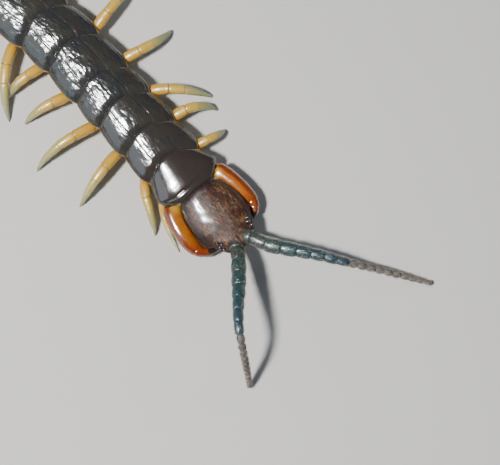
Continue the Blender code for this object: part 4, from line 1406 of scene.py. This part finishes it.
def head_shield():
    """Arches with a rolled rim, one for each x, crowded towards both ends. Pressed into them are a
    split in front, two short grooves at the rear, a furrow inside the rim and soft dents."""
    side, outer_turn, inner_turn = plate_columns(101)
    t = np.linspace(0, 1, 66)
    x = HEAD_START + HEAD_LENGTH * (t - np.sin(2 * math.pi * t) * 0.12)
    width, _, edge, top = read(HEAD_TABLE, x).T[..., None]
    x = x[:, None]
    share = (x - HEAD_START) / HEAD_LENGTH
    thick = HEAD_THICK * np.minimum(1, (top - edge) / 1.2)
    grids = []
    for turn in (outer_turn, inner_turn):
        u = side * (width - thick * (1 - np.cos(turn)) / 2)
        rise = (top - edge - thick * (turn > math.pi / 2)) * head_arch(side)
        split = SPLIT_DEPTH * bell(u, 0.12) * np.clip((x - SPLIT_FROM) / 1.8, 0, 1)
        rear = REAR_GROOVE_DEPTH * bell(np.abs(u) - 1.6 - 0.05 * x, 0.16) * np.clip(1 - x / 4.5, 0, 1)
        furrow = RIM_FURROW_DEPTH * bell(np.abs(u) - 0.94 * width, 0.15)
        uneven = HEAD_DENT_HEIGHT * dents(x * 1.3, u * 1.3, HEAD_SEED)
        relief = (uneven - split - rear - furrow) * (turn == 0)
        z = edge - HEAD_CURL * np.sin(turn) + rise + relief
        grids.append(notes(place(-x, u, z), share, side, 0.5, (x, u, z)))
    return shell(*grids)


def head_underside():
    """A closed lining: the shield's arch, a little inside it, over a flat superellipse below."""
    x = np.linspace(-0.4, 13.1, 40)[:, None]
    width, under, edge, top = read(HEAD_TABLE, x[:, 0]).T[..., None]
    angle = angles(56)[None, :]
    cosine, sine = np.cos(angle), np.sin(angle)
    u = (width - LINING_GAP) * np.sign(cosine) * np.abs(cosine) ** 0.7
    arch = (top - 2 * LINING_GAP - edge) * head_arch(u / width)
    flat = (under - edge + LINING_DROP) * np.abs(sine) ** 0.45
    z = edge - LINING_DROP + np.where(sine > 0, np.minimum(1, sine * 3) * arch, flat)
    return tube(notes(place(-x, u, z), 0.5, 0.99, 0.2, (x, angle, 0.0)))


def head_top(x, u):
    """The height of the shield's outer face at x and u."""
    width, _, edge, top = read(HEAD_TABLE, x)
    return edge + (top - edge) * head_arch(min(abs(u) / width, 1.0))


make_piece("head_shield", [head_shield()], head_finish, ["head"])
make_piece("head_underside", [head_underside()], belly_finish, ["head"])
print("head top at its middle:", round(float(head_top(6.0, 0.0)), 2), "mm")

# %% [markdown]
# ## Eyes
# Each side of the head has four simple eyes, small domes of dark glass, set in low rims near the
# antennae.

# %% Eyes
EYE_PLACES = ((11.35, 3.35), (10.75, 3.75), (10.45, 3.15), (9.85, 3.6))
EYE_RADIUS = 0.3
EYE_SINK = 0.1
RIM_SINK = 0.06
RIM_ROOM = 0.02


def eye_glass():
    """Clear dark glass, a little browner in places."""
    material, v = start_material("eye_glass", Coat_Weight=0.8, Coat_Roughness=0.04, IOR=1.55)
    x, y, z = v.note("lie")
    depth = v.noise(x * 2.0, y * 2.0, z * 2.0)
    colour = depth.ramp((0.3, (0.006, 0.006, 0.008)), (0.7, (0.03, 0.02, 0.012)))
    return paint(material, Base_Color=colour, Roughness=0.08 + depth * 0.08)


def eye_and_rim(side, x, u):
    """A dome whose axis is the shield's normal there, and a ring round its foot."""
    step = 0.1
    rise_x = (head_top(x + step, u) - head_top(x - step, u)) / (2 * step)
    rise_u = (head_top(x, u + step) - head_top(x, u - step)) / (2 * step)
    normal = np.array([-rise_x, -rise_u * side, 1.0])
    normal /= np.linalg.norm(normal)
    first = np.cross(normal, (0.0, 1.0, 0.0))
    first /= np.linalg.norm(first)
    second = np.cross(normal, first)
    spot = place(-x, side * u, head_top(x, u))
    axes = EYE_RADIUS * np.array([normal, first, second])
    dome = ball(spot - normal * EYE_SINK, axes, 0.5, 12, 18)
    reach = EYE_RADIUS + RIM_ROOM
    grid, _ = oval_wire(spot - normal * RIM_SINK, first * reach, second * reach, 0.09, 0.11)
    return dome, joined_ring(notes(grid, 0.5, 0.99, 0.0, grid.transpose(2, 0, 1)))


eye_finish = eye_glass()
for side, word in ((1, "left"), (-1, "right")):
    domes, rims = zip(*[eye_and_rim(side, x, u) for x, u in EYE_PLACES])
    make_piece(f"eyes_{word}", domes, eye_finish, ["head"])
    make_piece(f"eye_rims_{word}", rims, head_finish, ["head"])
print(2 * len(EYE_PLACES), "eyes")

# %% [markdown]
# ## Antennae
# Each antenna is a string of 17 beads. The first seven are long, smooth barrels, olive at the head
# and then blue-green. The last ten are smaller, rounder, dull brown and velvety. Tables give each
# bead's length, radius and neck, and its number tells the material its colour.

# %% Tables and material of the antennae
LEFT_ANTENNA = (
    (13.0, 1.7, 5.75),
    (16.4, 3.3, 6.4),
    (20.5, 6.4, 6.6),
    (23.8, 8.85, 6.3),
    (27.0, 11.1, 5.6),
    (31.9, 14.8, 3.7),
    (35.8, 17.7, 2.3),
    (40.5, 21.1, 0.7),
)
RIGHT_ANTENNA = (
    (13.0, -1.7, 5.75),
    (15.0, -3.05, 7.6),
    (18.3, -5.9, 9.9),
    (21.45, -8.8, 12.3),
    (23.95, -10.85, 13.6),
    (26.4, -12.4, 12.9),
    (28.7, -13.7, 9.6),
    (30.8, -14.9, 5.0),
    (32.6, -16.0, 0.7),
)
ANTENNA_STOPS = (
    (0.03, (0.032, 0.044, 0.036)),
    (0.1, (0.013, 0.045, 0.042)),
    (0.16, (0.009, 0.044, 0.047)),
    (0.27, (0.008, 0.04, 0.054)),
    (0.39, (0.009, 0.034, 0.056)),
    (0.42, (0.07, 0.054, 0.042)),
    (1.0, (0.1, 0.072, 0.052)),
)


def antenna_shell():
    """A colour by bead number, a dark neck, and pale mottle and specks: partly painted glints, most on
    the first.
    """
    material, v = start_material("antenna_shell", Coat_Roughness=0.2)
    _, fraction, bead = v.note("marks")
    d, around, offset = v.note("lie")
    mottle = v.noise(d * 1.3, around * 1.4, offset)
    velvet_and_glints = v.noise(d * 4.5, around * 4.0, offset, 3.0)
    first = 1 - bead.between(0.08, 0.2)
    dull = bead.between(0.4, 0.42)
    colour = bead.ramp(*ANTENNA_STOPS)
    # The pale mottle and pale specks are partly painted glints, mostly on the first beads; on the brown
    # beads the specks are velvety dust.
    colour = mix(mottle.between(0.45, 0.7) * (0.15 + first * 0.4), colour, (0.1, 0.11, 0.09))
    dust_and_glints = velvet_and_glints.between(0.56, 0.7) * (0.12 + first * 0.25 + dull * 0.4)
    colour = mix(dust_and_glints, colour, (0.17, 0.16, 0.135))
    neck = 1 - fraction.between(0.01, 0.06)
    colour = mix(neck * 0.6, colour, (0.02, 0.022, 0.02))
    rough = 0.22 + dull * 0.38 + velvet_and_glints * 0.12
    coat = 0.35 - dull * 0.35
    relief = mottle * 1.4 + velvet_and_glints * 1.2
    return paint(material, relief, 0.1, Base_Color=colour, Roughness=rough, Coat_Weight=coat)


antenna_finish = antenna_shell()
print("made", antenna_finish.name)

# %% Beads of the antennae
BEADS = 17
BEAD_LENGTHS = ((0, 2.85), (2, 2.8), (6, 2.2), (7, 1.75), (16, 1.5))
BEAD_SIZES = ((0, 1.32), (1, 1.4), (2, 1.35), (4, 1.08), (6, 0.86), (7, 0.75), (12, 0.66), (16, 0.48))
NECK_SHARES = ((0, 0.83), (6, 0.8), (7, 0.55), (16, 0.55))
BEAD_POWERS = ((0, 0.45), (6, 0.5), (7, 0.62), (16, 0.62))
BEAD_STEPS = np.array([0, 0.02, 0.05, 0.1, 0.18, 0.3, 0.42, 0.55, 0.68, 0.8, 0.89, 0.95, 0.98, 1.0])
NECK_STEP = 0.001
TIP_FROM = 7
TIP_LEAST = 0.02
BEAD_SIDES = 24
# Each row of the collar: how far ahead of the antenna's root, and the radius there.
COLLAR_TABLE = (
    (-1.7, 0.95),
    (-1.2, 1.28),
    (-0.7, 1.43),
    (-0.3, 1.45),
    (-0.05, 1.38),
    (0.05, 1.25),
    (0.05, 1.0),
)


def bead_profile():
    """The rings of all beads: their share of the antenna's length, their fraction of their bead,
    its number, and the radius, which swells from neck to middle as sin(pi f) to a power. The last
    bead ends as half a circle."""
    numbers = np.arange(BEADS)
    lengths = straight(BEAD_LENGTHS, numbers)
    ends = np.concatenate([[0.0], np.cumsum(lengths)]) / lengths.sum()
    share = steps_between(ends, BEAD_STEPS)
    round_bead = np.sin(math.pi * np.clip(BEAD_STEPS, NECK_STEP, 1 - NECK_STEP))
    swell = round_bead ** straight(BEAD_POWERS, numbers)[:, None]
    neck = straight(NECK_SHARES, numbers)[:, None]
    radius = straight(BEAD_SIZES, numbers)[:, None] * (neck + (1 - neck) * swell)
    tip = np.sqrt(np.clip(1 - (2 * BEAD_STEPS[TIP_FROM:] - 1) ** 2, TIP_LEAST, 1))
    radius[-1, TIP_FROM:] = straight(BEAD_SIZES, BEADS - 1) * tip
    number = np.broadcast_to(numbers[:, None], share.shape)
    fraction = np.broadcast_to(BEAD_STEPS, share.shape)
    return share.ravel(), fraction.ravel(), number.ravel(), radius.ravel()


BEAD_SHARES, BEAD_FRACTIONS, BEAD_NUMBERS, BEAD_RADII = bead_profile()


def bead_chain(points):
    """Rings round an antenna's curve, with the radii of the beads."""
    curve = curve_through(np.array(points) + NECK)
    length = length_of(curve)
    centre, _, side, above = walk(curve, BEAD_SHARES * length)
    grid, angle = rings(centre, side, above, BEAD_RADII, BEAD_RADII, BEAD_SIDES)
    share = BEAD_SHARES[:, None]
    edge = np.minimum(BEAD_FRACTIONS, 1 - BEAD_FRACTIONS)[:, None]
    bead = (BEAD_NUMBERS[:, None] + 0.5) / BEADS
    return tube(notes(grid, share, edge, bead, (share * length, angle, points[1][1]))), curve, length


def antenna_collar(curve):
    """The raised collar that an antenna grows from, sunk in the front of the head."""
    steps, radii = np.array(COLLAR_TABLE).T
    centre, forward, side, above = walk(curve, np.zeros(len(steps)))
    grid, _ = rings(centre + forward * steps[:, None], side, above, radii, radii, 28)
    return tube(notes(grid, 0.0, 0.99, 0.0, grid.transpose(2, 0, 1)))


print(len(BEAD_SHARES), "rings on each antenna")

# %% [markdown]
# ## Hairs of the antennae
# Short, pale hairs stand all along an antenna. Thousands of them are drawn by chance, so each is
# only a cone with three sides, and numpy works all of them out at once.

# %% Hairs, and the pieces of the antennae
HAIRS = 2600
HAIR_FROM = 0.03
HAIR_SPREAD = 0.965
HAIR_LENGTH = 0.4
HAIR_RADIUS = 0.023
HAIR_SINK = 0.96


def hair_coat(curve, length, seed):
    """Short hairs as three-sided cones: all of them are worked out as one array of roots,
    directions and rings."""
    chance = np.random.default_rng(seed)
    share = HAIR_FROM + HAIR_SPREAD * chance.random(HAIRS)
    turn = chance.uniform(0, 2 * math.pi, HAIRS)
    centre, forward, side, above = walk(curve, share * length)
    out = side * np.cos(turn)[:, None] + above * np.sin(turn)[:, None]
    root = centre + out * (np.interp(share, BEAD_SHARES, BEAD_RADII) * HAIR_SINK)[:, None]
    lean = out + forward * chance.uniform(0.5, 1.1, HAIRS)[:, None]
    lean /= np.linalg.norm(lean, axis=1)[:, None]
    long = HAIR_LENGTH * chance.uniform(0.6, 1.1, HAIRS)
    tip = root + lean * long[:, None]
    across = np.cross(lean, forward)
    across /= np.linalg.norm(across, axis=1)[:, None]
    other = np.cross(lean, across)
    corner = np.radians([0, 120, 240])
    ring = across[:, None] * np.cos(corner)[:, None] + other[:, None] * np.sin(corner)[:, None]
    foot = root[:, None] + ring * HAIR_RADIUS
    points = np.concatenate([foot, tip[:, None]], axis=1)
    first = np.arange(HAIRS)[:, None] * 4
    corners = np.array([[0, 1, 3], [1, 2, 3], [2, 0, 3], [2, 1, 0]])
    triangles = (first[:, None] + corners).reshape(-1, 3)
    along = np.array([0, 0, 0, 1.0])
    tone = chance.random(HAIRS)[:, None]
    values = notes(points, along, 0.0, tone, points.transpose(2, 0, 1))
    return values.reshape(-1, COLUMNS), np.zeros((0, 4), int), triangles


def pale_hair():
    """A tone between grey and straw for each hair, duller towards its tip."""
    material, v = start_material("pale_hair", Coat_Weight=0.0)
    along, _, tone = v.note("marks")
    colour = mix(tone, (0.25, 0.24, 0.2), (0.62, 0.58, 0.47))
    return paint(material, Base_Color=colour, Roughness=0.4 + along * 0.2)


hair_finish = pale_hair()
collars = []
for word, points, seed in (("left", LEFT_ANTENNA, 5), ("right", RIGHT_ANTENNA, 6)):
    chain, curve, length = bead_chain(points)
    node = f"antenna_{word}"
    make_piece(f"beads_{node}", [chain], antenna_finish, [node])
    hairs = hair_coat(curve, length, seed)
    make_piece(f"hairs_{node}", [hairs], hair_finish, [node])
    collars.append(antenna_collar(curve))
make_piece("antenna_collars", collars, antenna_finish, ["head"])
print("antennae of", BEADS, "beads,", round(float(length), 1), "mm long")

# %% [markdown]
# ## Poison fangs
# The fangs are the first pair of legs turned into jaws: thick amber arms that lie along the head,
# two short rings, and a curved claw that reaches in under the head. Light soaks into amber shell
# and its skin is glossy, so it gets some subsurface light under a clear coat. It is darker and
# redder on its outer side and towards the end.

# %% Material of the fangs
AMBER = (0.36, 0.105, 0.002)
AMBER_RED = (0.19, 0.032, 0.002)
AMBER_CLOUD = (0.16, 0.032, 0.002)
AMBER_END = (0.2, 0.03, 0.002)
AMBER_ROOT = (0.5, 0.28, 0.03)


def fang_shell():
    """Amber, redder outwards, in clouds and towards the end, and yellower at the root."""
    material, v = start_material(
        "fang_shell",
        Subsurface_Weight=0.35,
        Subsurface_Radius=(1.0, 0.3, 0.05),
        Subsurface_Scale=0.0009,
        Coat_Weight=0.75,
        Coat_Roughness=0.05,
    )
    along, outward, _ = v.note("marks")
    d, around, offset = v.note("lie")
    cloud = v.noise(d * 0.35, around * 0.9, offset)
    grain = v.noise(d * 1.1, around * 7.0, offset, 3.0)
    colour = mix((outward + cloud * 0.25).between(0.28, 0.48), AMBER, AMBER_RED)
    colour = mix(cloud.between(0.45, 0.75) * 0.45, colour, AMBER_CLOUD)
    colour = mix(along.between(0.4, 0.6) * 0.8, colour, AMBER_END)
    root = (1 - along.between(0.02, 0.14)) * (1 - outward.between(-0.1, 0.5))
    colour = mix(root, colour, AMBER_ROOT)
    return paint(material, grain, 0.03, Base_Color=colour, Roughness=0.12 + grain * 0.1)


fang_finish = fang_shell()
print("made", fang_finish.name)

# %% Shape of the fangs
LEFT_FANG = (
    (-0.6, 5.3, 4.15),
    (1.8, 6.0, 3.9),
    (5.2, 6.45, 3.65),
    (7.8, 6.45, 3.38),
    (9.3, 5.7, 3.1),
    (10.0, 4.4, 2.8),
    (10.1, 2.9, 2.5),
    (9.6, 1.5, 2.35),
)
RIGHT_FANG = (
    (-0.7, -5.3, 4.2),
    (1.8, -6.35, 4.0),
    (5.4, -7.0, 3.8),
    (7.9, -6.85, 3.5),
    (9.3, -5.95, 3.15),
    (10.0, -4.6, 2.8),
    (10.1, -3.0, 2.5),
    (9.6, -1.5, 2.35),
)
FANG_SIZES = (
    (0, 1.7, 1.45),
    (1, 1.66, 1.6),
    (2, 1.62, 1.63),
    (3, 1.55, 1.48),
    (4, 1.28, 1.2),
    (5, 0.8, 0.8),
    (6, 0.47, 0.5),
    (7, 0.12, 0.12),
)
FANG_ENDS = np.array([0.0, 0.585, 0.655, 0.725])
FANG_STEPS = np.array([0, 0.01, 0.03, 0.07, 0.15, 0.25, 0.4, 0.55, 0.7, 0.82, 0.9, 0.95, 0.98, 1.0])
FANG_LENGTH = 17.0
FANG_SIDES = 48
FANG_PINCH = 0.09
FANG_FLARE = 0.03
FANG_EDGE = 0.04
FANG_SEED = 31
RIDGE_TURN = math.radians(55)
RIDGE_RISE = 0.05
HOLLOW_TURN = RIDGE_TURN + 0.75
HOLLOW_DEPTH = 0.035
CLAW_FROM = 0.7
CLAW_SIZE = 0.9


def fang_rings(points, shares, factor, side):
    """Upright ellipses along a fang's route, at shares of its length, with a soft ridge along the
    top of its outer side, a hollow beside it and low dents."""
    curve = curve_through(np.array(points) + NECK)
    length = length_of(curve)
    centre, _, level, _ = walk(curve, shares * length)
    wide, high = read(FANG_SIZES, shares * (len(points) - 1)).T * factor
    outward = np.sign(level @ (0.0, side, 0.0))[:, None]
    grid, angle = rings(centre, level, np.broadcast_to(UP, level.shape), wide, high, FANG_SIDES)
    turn = np.arctan2(np.sin(angle), np.cos(angle) * outward)
    ridge = RIDGE_RISE * bell(turn - RIDGE_TURN, 0.3) - HOLLOW_DEPTH * bell(turn - HOLLOW_TURN, 0.4)
    distance = shares[:, None] * length
    swell = 1 + ridge + 0.03 * dents(distance, angle * 1.5, FANG_SEED + side)
    spread = (grid - centre[:, None]) * swell[..., None]
    facing = np.einsum("rk,rsk->rs", level * outward, spread) / wide[:, None]
    lie = (distance, angle, side * 3.0)
    return tube(notes(centre[:, None] + spread, shares[:, None], facing, 0.0, lie))


def fang_arm(points, side):
    """The arm and its two short rings: sleeves with shallow necks, closed by a rounded end."""
    size = np.diff(FANG_ENDS)[:, None] * FANG_LENGTH
    before, after = FANG_STEPS * size, (1 - FANG_STEPS) * size
    flare = FANG_FLARE * bell(after - 0.15, 0.2) - FANG_EDGE * bell(after, 0.06)
    factor = 1 - FANG_PINCH * np.exp(-before / 0.2) + flare
    factor[0] = np.where(FANG_STEPS < 0.05, 0.86 + FANG_STEPS * 3, factor[0])
    shares = steps_between(FANG_ENDS, FANG_STEPS)
    return fang_rings(points, shares.ravel(), factor.ravel(), side)


def fang_claw(points, side):
    """The claw: the rest of the route, a little thinner, with rings crowded towards the tip."""
    shares = CLAW_FROM + (1 - CLAW_FROM) * np.sin(np.linspace(0, math.pi / 2, 26))
    return fang_rings(points, shares, CLAW_SIZE, side)


for side, word, points in ((1, "left", LEFT_FANG), (-1, "right", RIGHT_FANG)):
    arm, claw = fang_arm(points, side), fang_claw(points, side)
    make_piece(f"fang_arm_{word}", [arm], fang_finish, [f"fang_{word}"])
    make_piece(f"fang_claw_{word}", [claw], horn_finish, [f"fang_{word}"])
print("two fangs")

# %% [markdown]
# ## Under the head
# The fangs hang from one broad plate with a seam down its middle and two small combs of teeth on
# its front edge. In front of it lie the mouthparts: a soft lip, two pairs of lobes and a pair of
# jointed feelers.

# %% Fang plate, teeth and mouthparts
# Each row: distance ahead of the neck, half the width, and the heights of the underside and top.
FANG_PLATE = (
    (0.3, 2.9, 2.1, 4.0),
    (1.2, 3.7, 1.9, 4.2),
    (3.2, 4.6, 1.8, 4.3),
    (5.4, 4.4, 1.9, 4.2),
    (6.6, 3.4, 2.2, 3.9),
)
TOOTH_PLACES = (0.55, 1.15, 1.75, 2.3)
PALP_POINTS = ((7.3, 3.1, 3.85), (9.4, 2.5, 3.9), (11.2, 1.5, 3.95), (12.4, 0.7, 4.0))
PALP_SIZES = ((0.0, 0.5), (0.35, 0.52), (0.7, 0.42), (1.0, 0.2))
PALP_ENDS = np.array([0, 0.36, 0.72, 1.0])
PALP_STEPS = np.array([0, 0.05, 0.15, 0.35, 0.6, 0.85, 0.95, 1.0])
TOOTH_X = (5.6, 6.5, 7.0, 7.3)
TOOTH_Z = 3.05
TOOTH_RADII = (0.32, 0.31, 0.24, 0.06)
# Each row: place ahead, to one side and up, and half the size ahead, across and up.
MOUTH_LOBES = (
    (9.6, 0.0, 3.85, 2.0, 2.1, 0.42),
    (11.9, 0.0, 4.6, 1.2, 2.2, 0.5),
    (9.9, 0.75, 3.62, 1.7, 0.7, 0.42),
    (9.9, -0.75, 3.62, 1.7, 0.7, 0.42),
    (8.9, 1.75, 3.75, 1.5, 0.75, 0.45),
    (8.9, -1.75, 3.75, 1.5, 0.75, 0.45),
)
SEAM_DEPTH = 0.12


def fang_plate():
    """Elliptical rings along x, with a seam pressed in along the middle of the underside."""
    x = np.linspace(0.3, 6.7, 44)
    width, low, high = read(FANG_PLATE, x).T
    ends = np.sqrt(np.clip(1 - ((x - 3.5) / 3.25) ** 2, 0.08, 1)) ** 0.3
    centre = place(-x, 0.0, (low + high) / 2)
    level = np.broadcast_to((0.0, 1.0, 0.0), centre.shape)
    up = np.broadcast_to(UP, centre.shape)
    grid, angle = rings(centre, level, up, width * ends, (high - low) / 2 * ends, 72)
    u = grid[..., 1] - NECK[1]
    pressed = SEAM_DEPTH * bell(u, 0.13) + 0.04 * dents(x[:, None], u, 9)
    grid[..., 2] += (np.sin(angle) < 0) * pressed
    return tube(notes(grid, 0.3, -0.5 + 0 * angle, 0.0, (x[:, None], u, 4.0)))


def palp(side):
    """A feeler of three joints: a tube along a curve, pinched where they meet."""
    curve = curve_through(np.array(PALP_POINTS) * (1, side, 1) + NECK)
    length = length_of(curve)
    share = steps_between(PALP_ENDS, PALP_STEPS).ravel()
    pinch = 0.8 + 0.2 * np.tile(np.sin(math.pi * np.clip(PALP_STEPS, 0.01, 0.99)) ** 0.4, 3)
    centre, _, level, above = walk(curve, share * length)
    radius = read(PALP_SIZES, share) * pinch
    grid, angle = rings(centre, level, above, radius, radius * 0.85, 18)
    return tube(notes(grid, 0.3, 0.1, 0.0, (share[:, None] * length, angle, side * 2.0)))


def mouth_lobes():
    """The lip under the antennae and the paired lobes of the mouth, as flattened ellipsoids."""
    return [ball(place(-x, u, z), np.diag(sizes), 0.3, 14, 24) for x, u, z, *sizes in MOUTH_LOBES]


def tooth(side, u):
    """A blunt cone on the plate's front edge, pointing forwards and a little outwards."""
    points = [NECK + (x, side * (u + 0.05 * x - 0.3), TOOTH_Z) for x in TOOTH_X]
    return cone(points, TOOTH_RADII, 10)


make_piece("fang_plate_shell", [fang_plate()], fang_finish, ["fang_plate"])
teeth = [tooth(side, u) for side in (1, -1) for u in TOOTH_PLACES]
make_piece("fang_plate_teeth", teeth, horn_finish, ["fang_plate"])
mouth = mouth_lobes() + [palp(1), palp(-1)]
make_piece("mouth_parts", mouth, fang_finish, ["mouthparts"])
print(len(teeth), "teeth and", len(mouth), "mouthparts")

# %% [markdown]
# ## Floor
# A plain pale floor, so large that its edges never show.

# %% Floor
FLOOR_HALF = 900.0


def pale_floor():
    """Two near greys in clouds."""
    material, v = start_material("pale_floor", Roughness=0.85)
    place_on_floor = v.node("TexCoord", output="Object")
    cloud = v.node("TexNoise", None, {"Vector": place_on_floor, "Scale": 12.0, "Detail": 3.0})
    colour = mix(cloud, (0.56, 0.55, 0.53), (0.6, 0.59, 0.57))
    return paint(material, Base_Color=colour)


floor_mesh = bpy.data.meshes.new("floor")
corners = np.array([(-1, -1, 0), (1, -1, 0), (1, 1, 0), (-1, 1, 0)]) * FLOOR_HALF * MM
floor_mesh.from_pydata(corners.tolist(), [], [(0, 1, 2, 3)])
floor_mesh.materials.append(pale_floor())
floor = bpy.data.objects.new("floor", floor_mesh)
bpy.context.scene.collection.objects.link(floor)
print("floor", 2 * FLOOR_HALF * MM, "m wide")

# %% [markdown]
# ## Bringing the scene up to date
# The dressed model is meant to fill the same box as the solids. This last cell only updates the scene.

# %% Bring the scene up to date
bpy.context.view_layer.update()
